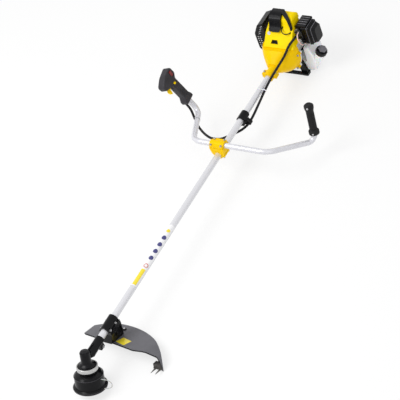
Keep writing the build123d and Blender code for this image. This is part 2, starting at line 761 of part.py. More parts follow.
PINION_ANGLE = 28.95
GEAR_ANGLE = HEAD_TILT - PINION_ANGLE
PINION_BACK_X = HEAD_X - CONE_LENGTH * cos(radians(PINION_ANGLE))
MESH_GAP = 0.2
UPPER_BEARING_Z = OUTPUT_TOP - BEARING_WIDTH
LOWER_BEARING_Z = CASE_FLANGE_BOTTOM + 2.0
NECK_BEARING_X = SHAFT_FRONT_X + 3.0
SMALL_BEARING_R = 10.0
CASE_BORE_R = CASE_R - CASE_WALL


def bevel_gear(angle, teeth, bore, hub_r, hub_length):
    """A bevel gear with its cone's apex at the origin, opening up Z."""
    slope_sin = sin(radians(angle))
    slope_cos = cos(radians(angle))
    big = CONE_LENGTH * slope_sin - MESH_GAP
    small = (CONE_LENGTH - TOOTH_FACE) * slope_sin - MESH_GAP
    low = (CONE_LENGTH - TOOTH_FACE) * slope_cos
    high = CONE_LENGTH * slope_cos
    hub_end = high + hub_length
    body = turned([(bore, low), (small, low), (big, high), (hub_r, hub_end), (bore, hub_end)])
    groove_width = 1.1 * big / teeth
    middle = CONE_LENGTH - TOOTH_FACE / 2
    groove = Rot(0, 90 - angle, 0) * Box(2 * TOOTH_FACE, groove_width, 2 * TOOTH_DEPTH)
    turned_in = Rot(0, 180 - 2 * (90 - angle), 0) * groove
    groove = Pos(middle * slope_sin - MESH_GAP, 0, middle * slope_cos) * turned_in
    for i in range(teeth):
        body -= Rot(0, 0, 360 * i / teeth) * groove
    return body


def pinion():
    gear = bevel_gear(PINION_ANGLE, PINION_TEETH, DRIVE_R + SEAT_GAP, 7.0, 6.0)
    toward_engine = Plane(origin=(HEAD_X, 0, 0), x_dir=(0, 1, 0), z_dir=(-1, 0, 0))
    return toward_engine.location * gear


def output_gear():
    return HEAD.location * bevel_gear(GEAR_ANGLE, GEAR_TEETH, OUTPUT_R + SEAT_GAP, 8.0, 6.0)


def output_shaft():
    return HEAD.location * extrude(Pos(0, 0, OUTPUT_BOTTOM) * Circle(OUTPUT_R), OUTPUT_TOP - OUTPUT_BOTTOM)


def bearing(outer, inner, z):
    ring = Circle(outer) - Circle(inner)
    return extrude(Pos(0, 0, z) * ring, BEARING_WIDTH)


def bearings():
    """The ball bearings of the head's shaft, the drive shaft's front end and the clutch drum."""
    case_r = CASE_BORE_R - SEAT_GAP
    head = [
        HEAD.location * bearing(SMALL_BEARING_R - SEAT_GAP, OUTPUT_R + RUN_GAP, UPPER_BEARING_Z),
        HEAD.location * bearing(case_r, OUTPUT_R + RUN_GAP, LOWER_BEARING_Z),
    ]
    neck = pipe(SMALL_BEARING_R - SEAT_GAP, DRIVE_R + RUN_GAP, NECK_BEARING_X, NECK_BEARING_X + BEARING_WIDTH)
    drum_x = HUB_FRONT_X - 2
    drum = pipe(DRUM_BEARING_R - SEAT_GAP, DRUM_HUB_R + RUN_GAP, drum_x - BEARING_WIDTH, drum_x)
    return head + [neck, drum]


def gear_case():
    barrel = turned(
        [
            (0, CASE_FLANGE_BOTTOM),
            (CASE_FLANGE_R, CASE_FLANGE_BOTTOM),
            (CASE_FLANGE_R, CASE_FLANGE_TOP - 2),
            (CASE_FLANGE_R - 6, CASE_FLANGE_TOP),
            (CASE_R + 1, CASE_FLANGE_TOP + 6),
            (CASE_R, CASE_FLANGE_TOP + 14),
            (CASE_R, CASE_TOP - 6),
            (CASE_R - 4, CASE_TOP),
            (0, CASE_TOP + 1.5),
        ]
    )
    body = HEAD.location * barrel
    neck_x = SHAFT_FRONT_X - NECK_REACH
    neck = turned_on_shaft(
        [
            (0, neck_x),
            (NECK_R, neck_x),
            (NECK_R, SHAFT_FRONT_X - 8),
            (CASE_R - 1, SHAFT_FRONT_X + 20),
            (0, HEAD_X),
        ]
    )
    body += neck
    body += block(NECK_CLAMP_X - 11, NECK_CLAMP_X + 11, -13, 13, -NECK_R - 13, 0)
    for side in (-1, 1):
        body += block(SHAFT_FRONT_X - 12, HEAD_X, side * 1.5, side * -1.5, 0, NECK_R + 6)
    body -= rod(SHAFT_SEAT_R, neck_x - 1, SHAFT_FRONT_X + FACE_GAP)
    body -= rod(SMALL_BEARING_R, SHAFT_FRONT_X - 1, NECK_BEARING_X + BEARING_WIDTH + FACE_GAP)
    body -= rod(CASE_BORE_R - 3, NECK_BEARING_X + BEARING_WIDTH, HEAD_X)
    body -= block(neck_x - 1, NECK_CLAMP_X + 14, -SPLIT_GAP / 2, SPLIT_GAP / 2, -NECK_R - 14, -SHAFT_R + 1)
    upright = (Align.CENTER, Align.CENTER, Align.MIN)
    bore = Cylinder(CASE_BORE_R, UPPER_BEARING_Z - LOWER_BEARING_Z, align=upright)
    body -= HEAD.location * (Pos(0, 0, LOWER_BEARING_Z) * bore)
    top = Cylinder(SMALL_BEARING_R, BEARING_WIDTH + 1, align=(Align.CENTER, Align.CENTER, Align.MIN))
    body -= HEAD.location * (Pos(0, 0, UPPER_BEARING_Z - 0.5) * top)
    exit_r = OUTPUT_R + 3
    body -= HEAD.location * extrude(Pos(0, 0, CASE_FLANGE_BOTTOM - 1) * Circle(exit_r), 10)
    return holes(body, NECK_SCREWS)


def collar():
    lip = COLLAR_R - COLLAR_LIP
    return HEAD.location * turned(
        [
            (OUTPUT_R + SEAT_GAP, COLLAR_FLOOR),
            (lip, COLLAR_FLOOR),
            (lip, COLLAR_TOP),
            (COLLAR_R - 1, COLLAR_TOP),
            (COLLAR_R, COLLAR_TOP - 1),
            (COLLAR_R, COLLAR_BOTTOM + 3),
            (COLLAR_R - 5, COLLAR_BOTTOM),
            (OUTPUT_R + SEAT_GAP, COLLAR_BOTTOM),
        ]
    )


def line_hole():
    """The eyelet hole that the line leaves by, on each side of the head."""
    place = Plane(origin=(0, -SHELL_R - 5, LINE_EXIT), z_dir=(0, 1, 0))
    return extrude(place * Circle(LINE_D / 2 + 1.2), 2 * SHELL_R + 10)


def head_housing():
    inner = SHELL_R - SHELL_WALL
    roof = SHELL_TOP + 2.0
    body = turned(
        [
            (OUTPUT_R + SEAT_GAP, COLLAR_BOTTOM - FACE_GAP),
            (HUB_R, COLLAR_BOTTOM - FACE_GAP),
            (HUB_R, HUB_SHOULDER),
            (SHELL_TOP_R - 6, SHELL_TOP + 7),
            (SHELL_TOP_R, SHELL_TOP),
            (SHELL_R, SHELL_BOTTOM),
            (inner, SHELL_BOTTOM),
            (SHELL_TOP_R - SHELL_WALL, SHELL_TOP - 4),
            (SHELL_TOP_R - 9, roof),
            (SPINDLE_R, roof),
            (SPINDLE_R, SPINDLE_BOTTOM),
            (SPINDLE_BORE_R, SPINDLE_BOTTOM),
            (SPINDLE_BORE_R, OUTPUT_BOTTOM - 2),
            (OUTPUT_R + SEAT_GAP, OUTPUT_BOTTOM - 2),
        ]
    )
    side = line_hole()
    side -= Cylinder(SPINDLE_R + 2, 400)
    return HEAD.location * (body - side)


def spool():
    top = SHELL_TOP + 2.0 - FACE_GAP
    bottom = RIM_BOTTOM + 2.0
    return HEAD.location * turned(
        [
            (SPINDLE_R + FACE_GAP, top),
            (SPOOL_R - 6, top),
            (SPOOL_R - 6, top - SPOOL_FLANGE),
            (SPOOL_CORE_R, top - SPOOL_FLANGE),
            (SPOOL_CORE_R, bottom + SPOOL_FLANGE),
            (SPOOL_R, bottom + SPOOL_FLANGE),
            (SPOOL_R, bottom),
            (SPINDLE_R + FACE_GAP, bottom),
        ]
    )


def cutting_line():
    """The nylon line: the wound part on the spool and the loop that comes out of the head."""
    top = SHELL_TOP + 2.0 - SPOOL_FLANGE - 2 * FACE_GAP
    bottom = RIM_BOTTOM + 2.0 + SPOOL_FLANGE + FACE_GAP
    wound_r = SPOOL_R - 8
    wound = turned(
        [(SPOOL_CORE_R + SEAT_GAP, top), (wound_r, top), (wound_r, bottom), (SPOOL_CORE_R + SEAT_GAP, bottom)]
    )
    side = SHELL_R
    loop = cord(
        [
            (0, wound_r + 0.2, LINE_EXIT),
            (0, side + 8, LINE_EXIT + 2),
            (-1, side + 29, LINE_EXIT + 4),
            (-4, side + 41, LINE_EXIT - 6),
            (-6, side + 41, LINE_EXIT - 21),
            (-5, side + 31, LINE_EXIT - 32),
            (-2, side + 18, LINE_EXIT - 35),
            (0, RIM_R + 0.3, LINE_EXIT - 36),
        ],
        LINE_D,
    )
    return [HEAD.location * wound, HEAD.location * loop]


def head_cover():
    inner = SHELL_R - SHELL_WALL
    return HEAD.location * turned(
        [
            (inner, SHELL_BOTTOM - FACE_GAP / 2),
            (SHELL_R + 1, SHELL_BOTTOM - FACE_GAP / 2),
            (RIM_R, SHELL_BOTTOM - 4),
            (RIM_R, RIM_BOTTOM),
            (RIM_R - 5, RIM_BASE),
            (KNOB_R + 2, RIM_BASE - 1),
            (KNOB_R + 2, RIM_BASE + 3),
            (inner, RIM_BOTTOM),
        ]
    )


def bump_knob():
    stem_r = SPINDLE_BORE_R - FACE_GAP
    top = OUTPUT_BOTTOM - 4 - KNOB_TRAVEL
    shelf = RIM_BOTTOM + 2.0 - KNOB_TRAVEL - FACE_GAP
    return HEAD.location * turned(
        [
            (0, top),
            (stem_r, top),
            (stem_r, shelf),
            (KNOB_R, shelf),
            (KNOB_R, KNOB_BOTTOM + 4),
            (KNOB_R - 6, KNOB_BOTTOM),
            (0, KNOB_BOTTOM),
        ]
    )


# Guard

def guard_sheet_line():
    """The guard's cross-section from its right tip to its turned-down left end, as (Y, height)."""
    high = -GUARD_DROP
    return [
        (GUARD_LEFT_Y - 20, high - 12),
        (-60, high),
        (GUARD_RIGHT_Y - 76, high - 2),
        (GUARD_RIGHT_Y - 20, high - 22),
        (GUARD_RIGHT_Y, high - 92),
    ]


GUARD_FOLDS = [90.0, 70.0, 26.0]


GUARD_SHIFT = [(0, 1), (0, 1), (0.15, 1), (0.7, 0.7), (1, 0)]


def guard_under(depth):
    """Everything below the guard's sheet, set in by a thickness."""
    line = [(y - depth * dy, z - depth * dz) for (y, z), (dy, dz) in zip(guard_sheet_line(), GUARD_SHIFT)]
    top = FilletPolyline(*line, radius=GUARD_FOLDS)
    first, last = line[0], line[-1]
    rest = Polyline(last, (last[0], -200), (first[0], -200), first)
    face = make_face([top, rest])
    across = Plane(origin=(-GUARD_R - 40, 0, 0), x_dir=(0, 1, 0), z_dir=(1, 0, 0))
    return extrude(across * face, GUARD_R + 40)


def guard_plan():
    """The guard's outline seen down the head's axis: a band behind the head, cut off at both ends."""
    inner = -GUARD_INNER
    wedge = make_face(
        Polyline(
            (inner - 22, GUARD_LEFT_Y),
            (inner - 6, GUARD_LEFT_Y / 2),
            (inner, 0),
            (inner + 12, GUARD_RIGHT_Y * 0.45),
            (inner - 4, GUARD_RIGHT_Y * 0.86),
            (inner + 4, GUARD_RIGHT_Y + 4),
            (-GUARD_R - 20, GUARD_RIGHT_Y + 4),
            (-GUARD_R - 20, GUARD_LEFT_Y + 10),
            close=True,
        )
    )
    return Circle(GUARD_R) & wedge


def guard():
    floor = Plane(origin=(0, 0, FLOOR_Z), z_dir=(0, 0, 1))
    above_floor = extrude(floor * Rectangle(4 * GUARD_R + 2 * HEAD_X, 6 * GUARD_R), 2 * FLOOR_DEPTH)
    plan = extrude(Pos(0, 0, -200) * guard_plan(), 220)
    sheet = (guard_under(0) - guard_under(GUARD_SHEET)) & plan
    band = plan - extrude(Pos(0, 0, -210) * Circle(GUARD_R - GUARD_SHEET), 240)
    skirt = band & guard_under(1.0)
    body = HEAD.location * (sheet + skirt)
    return body & above_floor


def bracket_base_room():
    return rod(SHAFT_SEAT_R, BRACKET_X0 - 20, BRACKET_X1 + 20)


def guard_bracket():
    """The lower half of the guard's clamp, reaching down from the shaft to the guard's sheet."""
    middle = (BRACKET_X0 + BRACKET_X1) / 2
    shelf = BRACKET_SPLIT - SPLIT_GAP / 2 - 7
    top = Plane(origin=(middle, 0, shelf), z_dir=(0, 0, 1)) * Rectangle(BRACKET_LENGTH, 2 * BRACKET_HALF)
    back = (HEAD_X - middle) / TILT_SIN
    foot_height = -GUARD_DROP + FACE_GAP / 2
    foot = HEAD * (Pos(-back + 3, -14, foot_height) * Rectangle(BRACKET_LENGTH + 10, 2 * BRACKET_HALF + 5))
    body = loft([foot, top])
    body += extrude(top, 7)
    for side in (-1, 1):
        for x in (BRACKET_X0 + 6, middle + 3):
            y = side * BRACKET_HALF
            body -= block(x, x + BRACKET_LENGTH / 2 - 9, y - side * 9, y + side * 40, -60, shelf - 12)
    body -= bracket_base_room()
    return holes(body, BRACKET_SCREWS)


def guard_bracket_cap():
    roof = SHAFT_R + BRACKET_WALL
    bottom = BRACKET_SPLIT + SPLIT_GAP / 2
    body = block(BRACKET_X0, BRACKET_X1, -BRACKET_HALF, BRACKET_HALF, bottom, BRACKET_SPLIT + BRACKET_EAR)
    body += block(BRACKET_X0, BRACKET_X1, -roof, roof, bottom, 0)
    body += rod(roof, BRACKET_X0, BRACKET_X1) & block(BRACKET_X0, BRACKET_X1, -roof, roof, -1, roof + 1)
    body -= bracket_base_room()
    return holes(body, BRACKET_SCREWS)


def line_cutter():
    """The steel cutter at the guard's left end: a plate and block on the skirt with two forward prongs."""
    skirt_r = GUARD_R - GUARD_SHEET
    skirt_end = sqrt(skirt_r**2 - GUARD_INNER**2)
    straight_end = GUARD_RIGHT_Y - GUARD_SHEET - CUTTER_END_GAP
    y = min(skirt_end, straight_end) - CUTTER_WIDTH / 2 + 10
    z = -75.0
    body = Pos(-GUARD_INNER - 4, y, z) * Box(24, CUTTER_WIDTH, CUTTER_THICKNESS)
    body += Pos(-GUARD_INNER - 5, y, z + 9) * Box(20, CUTTER_WIDTH, 17)
    body &= extrude(Pos(0, 0, -200) * Circle(skirt_r - FACE_GAP / 2), 220)
    body &= guard_under(GUARD_SHEET + FACE_GAP / 2)
    for dy in (-13, 7):
        prong = make_face(Polyline((0, dy - 4), (CUTTER_LENGTH / 2, dy), (0, dy + 4), close=True))
        body += Pos(-GUARD_INNER + 7, y, z - CUTTER_THICKNESS / 2) * extrude(prong, CUTTER_THICKNESS)
    return HEAD.location * body


# Engine

DRUM_HUB_R = 9.0
DRUM_BEARING_R = 17.0
SHOE_GAP = 1.5
FLYWHEEL_REAR_X = FAN_REAR_X + 2.0


def clutch_drum():
    inner = DRUM_R - DRUM_WALL
    return turned_on_shaft(
        [
            (DRIVE_R + SEAT_GAP, HUB_FRONT_X),
            (DRUM_HUB_R, HUB_FRONT_X),
            (DRUM_HUB_R, DRUM_WEB_X + 4),
            (DRUM_R, DRUM_WEB_X + 4),
            (DRUM_R, DRUM_REAR_X),
            (inner, DRUM_REAR_X),
            (inner, DRUM_WEB_X),
            (DRIVE_R + SEAT_GAP, DRUM_WEB_X),
        ]
    )


def clutch_shoes():
    """Two curved shoes on the flywheel's front, held in by their springs at rest."""
    outer = DRUM_R - DRUM_WALL - SHOE_GAP
    ring = Circle(outer) - Circle(CRANK_R + 4)
    ring -= Rectangle(2 * outer, 5)
    length = DRUM_WEB_X - 2 - FLYWHEEL_FRONT_X - FACE_GAP
    shoes = extrude(station(FLYWHEEL_FRONT_X + FACE_GAP / 2) * ring, length)
    return list(shoes.solids())


def flywheel():
    web = FLYWHEEL_REAR_X + 6
    body = turned_on_shaft(
        [
            (CRANK_R + SEAT_GAP, FLYWHEEL_FRONT_X),
            (20, FLYWHEEL_FRONT_X),
            (24, web),
            (FLYWHEEL_R, web),
            (FLYWHEEL_R, FLYWHEEL_REAR_X),
            (CRANK_R + SEAT_GAP, FLYWHEEL_REAR_X),
        ]
    )
    blade = Pos((FLYWHEEL_R + 36) / 2, 0) * Rectangle(FLYWHEEL_R - 36 - 0.5, 3)
    for i in range(FAN_BLADES):
        body += extrude(station(web - 1) * (Rot(0, 0, 360 * i / FAN_BLADES) * blade), 15)
    return body


def crankshaft():
    return rod(CRANK_R, FLYWHEEL_FRONT_X + 4, CRANKCASE_REAR_X - 3)


FAN_RINGS = 8
FAN_THROAT_R = NOSE_R + 6
FAN_THROAT_LENGTH = 2.0


def fan_section(left, right, bottom, top, low_r, top_r):
    """One cross-section of the fan housing: round below and squarer above."""
    return rounded([(left, bottom), (right, bottom), (right, top), (left, top)], [low_r, low_r, top_r, top_r])


def fan_housing():
    """The yellow front housing: nose clamp, clutch cone and the round fan case, open above to the shroud."""
    sections = []
    for i in range(FAN_RINGS + 1):
        share = i / FAN_RINGS
        setback = share * (FAN_REAR_SETBACK + FAN_THROAT_LENGTH) - FAN_THROAT_LENGTH
        half = FAN_THROAT_R + (FAN_R - FAN_THROAT_R) * sin(radians(90 * share))
        low_r = half - 4
        top_r = min(half - 4, 40)
        section = fan_section(-half, half, FAN_FLAT - half, half, low_r, top_r)
        sections.append(station(SHAFT_REAR_X - setback) * section)
    body = loft(sections, ruled=True)
    body += rod(NOSE_R, SHAFT_REAR_X, NOSE_X)
    lug = NOSE_LUG_OUT
    body += block(SHAFT_REAR_X + 20, SHAFT_REAR_X + 44, -lug, lug, -9, 9)
    for y, z in FAN_SCREW_SPOTS:
        body += rod(7, FAN_REAR_X, FAN_REAR_X + SCREW_LENGTH, y, z)
    inner = FAN_R - FAN_FLAT - FAN_WALL
    body -= turned_on_shaft(
        [
            (0, FAN_REAR_X - 1),
            (inner, FAN_REAR_X - 1),
            (FLYWHEEL_R + 4, SHAFT_REAR_X - 66),
            (DRUM_R + 4, SHAFT_REAR_X - 56),
            (DRUM_R + 4, DRUM_WEB_X + 6),
            (DRUM_BEARING_R, DRUM_WEB_X + 6),
            (DRUM_BEARING_R, HUB_FRONT_X - 1),
            (DRUM_HUB_R + 1, HUB_FRONT_X - 1),
            (DRUM_HUB_R + 1, SHAFT_REAR_X - 2),
            (0, SHAFT_REAR_X - 2),
        ]
    )
    body -= rod(SHAFT_SEAT_R, SHAFT_REAR_X - 2.5, NOSE_X + 1)
    body -= block(SHAFT_REAR_X + 16, NOSE_X + 1, -lug - 1, lug + 1, -SPLIT_GAP / 2, SPLIT_GAP / 2)
    seam = SEAM_HEIGHT - FACE_GAP
    body -= block(FAN_REAR_X - 1, SHAFT_REAR_X - 40, -FAN_R - 10, FAN_R + 12, seam, FAN_R + 40)
    return holes(body, NOSE_SCREWS + FAN_SCREWS)


def crankcase():
    x0 = CRANKCASE_REAR_X + FACE_GAP / 2
    x1 = FAN_REAR_X - FACE_GAP / 2
    body = rod(CRANKCASE_R, x0, x1)
    body += rod(FAN_R - 1, x1 - 8, x1) & block(x1 - 8, x1, -FAN_R, FAN_R, -FAN_R, SEAM_HEIGHT - 4)
    body += block(x0 + 4, x1 - 4, -FIN_SIZE / 2 + 2, FIN_SIZE / 2 - 2, 0, DECK_HEIGHT)
    for side in (-1, 1):
        body += block(UPRIGHT_X0, UPRIGHT_X1, side * 30, side * 48, -CRANKCASE_R - 4, 0)
    for y, z in FAN_SCREW_SPOTS:
        boss = rod(7, x1 - 8, x1, y, z)
        body += boss
    body -= rod(CRANK_R + RUN_GAP, x0 - 1, x1 + 1)
    return body


def cylinder():
    """The finned cylinder with its intake and exhaust stubs."""
    core = Pos(CYLINDER_X, 0, DECK_HEIGHT) * Cylinder(
        FIN_LENGTH / 2 - 4, CYLINDER_TOP_Z - DECK_HEIGHT, align=(Align.CENTER, Align.CENTER, Align.MIN)
    )
    body = core
    fin = RectangleRounded(FIN_LENGTH, FIN_SIZE, 14)
    for i in range(FIN_COUNT):
        body += extrude(Pos(CYLINDER_X, 0, FIN_BASE_Z + i * FIN_PITCH) * fin, FIN_THICKNESS)
    body += block(CYLINDER_X - 14, CYLINDER_X + 14, 0, CARB_Y - FACE_GAP / 2, 66, 92)
    body += block(CYLINDER_X - 14, CYLINDER_X + 14, -MUFFLER_IN + FACE_GAP / 2, 0, 68, 94)
    body -= Pos(CYLINDER_X, 0, CYLINDER_TOP_Z - 12) * Cylinder(PLUG_R + SEAT_GAP, 40)
    return body


PLUG_R = 7.0
MUFFLER_IN = 76.0


def spark_plug():
    low = CYLINDER_TOP_Z - 12
    body = turned(
        [
            (0, low + 1),
            (PLUG_R, low + 1),
            (PLUG_R, CYLINDER_TOP_Z + SEAT_GAP),
            (PLUG_R + 3, CYLINDER_TOP_Z + SEAT_GAP),
            (PLUG_R + 3, CYLINDER_TOP_Z + 8),
            (PLUG_R - 1, CYLINDER_TOP_Z + 9),
            (PLUG_R - 2, CYLINDER_TOP_Z + 26),
            (0, CYLINDER_TOP_Z + 26),
        ]
    )
    return Pos(CYLINDER_X, 0, 0) * body


def shroud_side():
    """The shroud's side view: a sloping front over the fan case and a level top."""
    x1 = CRANKCASE_REAR_X - 2
    return rounded(
        [
            (SHAFT_REAR_X - 57, SEAM_HEIGHT),
            (SHAFT_REAR_X - 122, 125),
            (SHAFT_REAR_X - 130, SHROUD_TOP - 12),
            (SHAFT_REAR_X - 148, SHROUD_TOP),
            (x1, SHROUD_TOP - 4),
            (x1, SEAM_HEIGHT),
        ],
        [2, 34, 14, 24, 12, 2],
    )


def shroud_front():
    """The shroud's front view: wide at the fan case and narrower at the top."""
    return rounded(
        [
            (SHROUD_RIGHT, SEAM_HEIGHT - 10),
            (SHROUD_LEFT, SEAM_HEIGHT - 10),
            (SHROUD_LEFT - 13, 92),
            (SHROUD_LEFT - 18, SHROUD_TOP),
            (SHROUD_RIGHT + 22, SHROUD_TOP),
            (SHROUD_RIGHT + 2, 104),
        ],
        [2, 2, 30, 18, 18, 30],
    )


def engine_shroud():
    """The yellow moulded shell over the cylinder, open below to the fan case and behind."""
    x1 = SHAFT_REAR_X - 50
    x0 = CRANKCASE_REAR_X - 20
    side = shroud_side()
    face = shroud_front()
    outer = through_y(side, SHROUD_RIGHT - 5, SHROUD_LEFT + 5) & through_x(face, x0, x1)
    open_x0 = CRANKCASE_REAR_X + 2
    open_x1 = SHAFT_REAR_X - 66
    mouth = Pos((open_x0 + open_x1) / 2, SEAM_HEIGHT) * Rectangle(open_x1 - open_x0, 18)
    hollow = through_y(offset(side, -SHROUD_WALL) + mouth, SHROUD_RIGHT - 5, SHROUD_LEFT + 5)
    body = outer - (hollow & through_x(offset(face, -SHROUD_WALL), x0, x1))
    body -= block(x0, open_x0 + 2, SHROUD_RIGHT + 8, SHROUD_LEFT - 8, SEAM_HEIGHT - 5, SHROUD_TOP - 30)
    body -= block(CYLINDER_X - 30, CYLINDER_X + 26, SHROUD_LEFT - 26, SHROUD_LEFT + 6, SEAM_HEIGHT - 1, 106)
    body -= block(CYLINDER_X - 36, CYLINDER_X + 30, SHROUD_RIGHT - 6, SHROUD_RIGHT + 26, SEAM_HEIGHT - 1, 112)
    vent = make_face(Polyline((-30, 69), (6, 69), (0, 82), (-24, 82), close=True))
    body -= extrude(station(SHAFT_REAR_X - 100) * vent, 60)
    body -= lead_hole(LEAD_OUT)
    body -= lead_hole(LEAD_IN)
    return body


LEAD_OUT = (SHAFT_REAR_X - 119.0, 18.0, 122.0)
LEAD_IN = (SHAFT_REAR_X - 106.0, 56.0, 108.0)


def lead_hole(spot):
    return rod(LEAD_D / 2 + 0.8, spot[0] - 14, spot[0] + 14, spot[1], spot[2])


def plug_lead():
    """The ignition lead's loop, out of one hole in the shroud's front and back in at another."""
    x0, y0, z0 = LEAD_OUT
    x1, y1, z1 = LEAD_IN
    return cord(
        [
            (x0 - 5, y0, z0),
            (x0 + 14, y0, z0 - 1),
            (x0 + 30, y0 + 11, z0 - 5),
            (x1 + 18, y1 - 12, z1 + 4),
            (x1 + 4, y1, z1),
            (x1 - 14, y1, z1),
        ],
        LEAD_D,
    )


def plug_cover():
    """The black cap that wraps over the shroud's top and front."""
    side = shroud_side()
    x_rear = CRANKCASE_REAR_X + 6
    band = offset(side, PLUG_COVER_HEIGHT) - offset(side, FACE_GAP)
    window = Pos((x_rear + SHAFT_REAR_X) / 2, PLUG_COVER_LOW + 100) * Rectangle(SHAFT_REAR_X - x_rear, 200)
    body = through_y(band & window, PLUG_COVER_RIGHT, PLUG_COVER_LEFT)
    width = PLUG_COVER_LEFT - PLUG_COVER_RIGHT
    middle = Pos((PLUG_COVER_LEFT + PLUG_COVER_RIGHT) / 2, PLUG_COVER_LOW + 75)
    front = middle * RectangleRounded(width - 0.2, 149.8, 9)
    return body & through_x(front, x_rear - 5, SHAFT_REAR_X)


def muffler():
    x0 = CYLINDER_X - 34
    x1 = CYLINDER_X + 26
    box = Pos((x0 + x1) / 2, 0) * RectangleRounded(x1 - x0, MUFFLER_OUT - MUFFLER_IN, 9)
    body = extrude(Pos(0, -(MUFFLER_OUT + MUFFLER_IN) / 2, 8) * box, 92)
    return body


def muffler_cover():
    """The perforated guard over the muffler, open towards the cylinder."""
    x1 = SHAFT_REAR_X - COVER_FRONT_SETBACK
    x0 = x1 - COVER_LENGTH
    near = -max(-SHROUD_RIGHT, STARTER_R) - 1.5
    points = [
        (near + 16, COVER_BOTTOM),
        (-COVER_OUT + 18, COVER_BOTTOM),
        (-COVER_OUT, COVER_BOTTOM + 22),
        (-COVER_OUT, COVER_TOP - 58),
        (-COVER_OUT + 24, COVER_TOP - 12),
        (near + 16, COVER_TOP + 8),
    ]
    outline = rounded(points, [6, 10, 16, 30, 16, 6])
    body = through_x(outline, x0, x1)
    body = fillet(body.faces().sort_by(Axis.X)[-1].edges(), 5)
    body -= through_x(offset(outline, -COVER_WALL), x0 + COVER_WALL, x1 - COVER_WALL)
    body -= block(x0 - 1, x1 + 1, near, near + 30, COVER_BOTTOM - 1, COVER_TOP + 20)
    for x in (CYLINDER_X - 20, CYLINDER_X + 12):
        standoff = Plane(origin=(x, -COVER_OUT + COVER_WALL / 2, 46), z_dir=(0, 1, 0))
        body += extrude(standoff * Circle(6), COVER_OUT - MUFFLER_OUT - COVER_WALL / 2 - SEAT_GAP)
    pitch = 10.5
    for row in range(VENT_ROWS):
        for column in range(2):
            y = -COVER_OUT + 14 + column * pitch
            body -= rod(2.6, x1 - 8, x1 + 8, y, COVER_BOTTOM + 22 + row * pitch)
    for slot in range(4):
        z = COVER_TOP - 56 + slot * 13
        y = -COVER_OUT + 16 + slot * 6
        place = station(x1 - 8) * (Pos(y + 8, z) * (Rot(0, 0, 35) * SlotOverall(22, 4.5)))
        body -= extrude(place, 16)
    return body


def carburettor():
    x0 = CYLINDER_X - 20
    x1 = CYLINDER_X + 20
    y1 = CARB_Y + CARB_DEPTH
    body = block(x0, x1, CARB_Y, y1, CARB_BOTTOM, CARB_TOP)
    body += block(x1 - 1, x1 + 6, FUEL_FITTING_Y - 5, FUEL_FITTING_Y + 5, 90, FUEL_FITTING_Z + 5)
    body += block(x1 - 2, x1 + 5, CARB_Y + 3, CARB_Y + 13, 80, 92)
    pocket = Cylinder(PRIMER_R + FACE_GAP, 2 * PRIMER_POCKET)
    body -= Pos(CYLINDER_X, (CARB_Y + y1) / 2, CARB_BOTTOM) * pocket
    body -= Pos(CYLINDER_X, (CARB_Y + y1) / 2, CARB_TOP) * Cylinder(LEVER_PIN_R + RUN_GAP, 20)
    place = Plane(origin=(x1, CHOKE_Y, CHOKE_Z), z_dir=(1, 0, 0))
    body -= extrude(place * Circle(CHOKE_PIN_R + RUN_GAP), -10)
    return body


PRIMER_R = 10.0
PRIMER_SEAT = 6.0
PRIMER_TRAVEL = 5.0
PRIMER_POCKET = PRIMER_SEAT + PRIMER_TRAVEL + 1.0
PRIMER_PROUD = 8.0
LEVER_PIN_R = 3.0
CHOKE_PIN_R = 2.5
CHOKE_Y = CARB_Y + 18.0
FUEL_FITTING_Y = CARB_Y + 18.0
FUEL_FITTING_Z = 104.0
CHOKE_Z = 72.0


def primer_bulb():
    bottom = CARB_BOTTOM - PRIMER_PROUD
    top = CARB_BOTTOM + PRIMER_SEAT
    body = turned([(0, bottom), (PRIMER_R - 5, bottom), (PRIMER_R, bottom + 5), (PRIMER_R, top), (0, top)])
    return Pos(CYLINDER_X, CARB_Y + CARB_DEPTH / 2, 0) * body


def throttle_lever():
    """The carburettor's rotary throttle lever, pulled by the cable."""
    pivot = Pos(CYLINDER_X, CARB_Y + CARB_DEPTH / 2, CARB_TOP + FACE_GAP)
    arm = make_hull((Circle(7).edges()) + (Pos(13, 0) * Circle(4)).edges())
    body = extrude(arm, 3)
    body += extrude(Circle(LEVER_PIN_R), -9)
    return pivot * body


def choke_lever():
    x1 = CYLINDER_X + 20
    place = Plane(origin=(x1 + FACE_GAP, CHOKE_Y, CHOKE_Z), x_dir=(0, 1, 0), z_dir=(1, 0, 0))
    arm = make_hull(Circle(5).edges() + (Pos(6, -22) * Circle(4)).edges())
    body = extrude(place * arm, 3)
    body += extrude(place * Circle(CHOKE_PIN_R), -8)
    return body


def filter_outline(inset):
    x1 = SHAFT_REAR_X - FILTER_FRONT_SETBACK
    x0 = x1 - FILTER_LENGTH
    width = FILTER_LENGTH - 2 * inset
    height = FILTER_TOP - FILTER_BOTTOM - 2 * inset
    return Pos((x0 + x1) / 2, (FILTER_BOTTOM + FILTER_TOP) / 2) * RectangleRounded(width, height, 8)


def on_y(sketch, y):
    """Lay a (station, height) sketch on the plane at one Y, facing the operator's left."""
    return Pos(0, y, 0) * side_face(sketch)


def carburettor_hood():
    """The shelf that covers the carburettor, from the shroud to the filter's base."""
    x1 = SHAFT_REAR_X - FILTER_FRONT_SETBACK - 4
    x0 = x1 - FILTER_LENGTH + 12
    y0 = SHROUD_LEFT + FACE_GAP
    y1 = FILTER_Y + FILTER_WALL
    plan = Pos((x0 + x1) / 2, (y0 + y1) / 2, FILTER_TOP - 13) * Rectangle(x1 - x0, y1 - y0)
    return extrude(plan, 12)


def filter_base():
    y1 = FILTER_Y + FILTER_BASE_DEPTH
    body = through_y(filter_outline(0), FILTER_Y, y1)
    body += carburettor_hood()
    body -= through_y(filter_outline(FILTER_WALL), FILTER_Y + FILTER_WALL, y1 + 1)
    return body


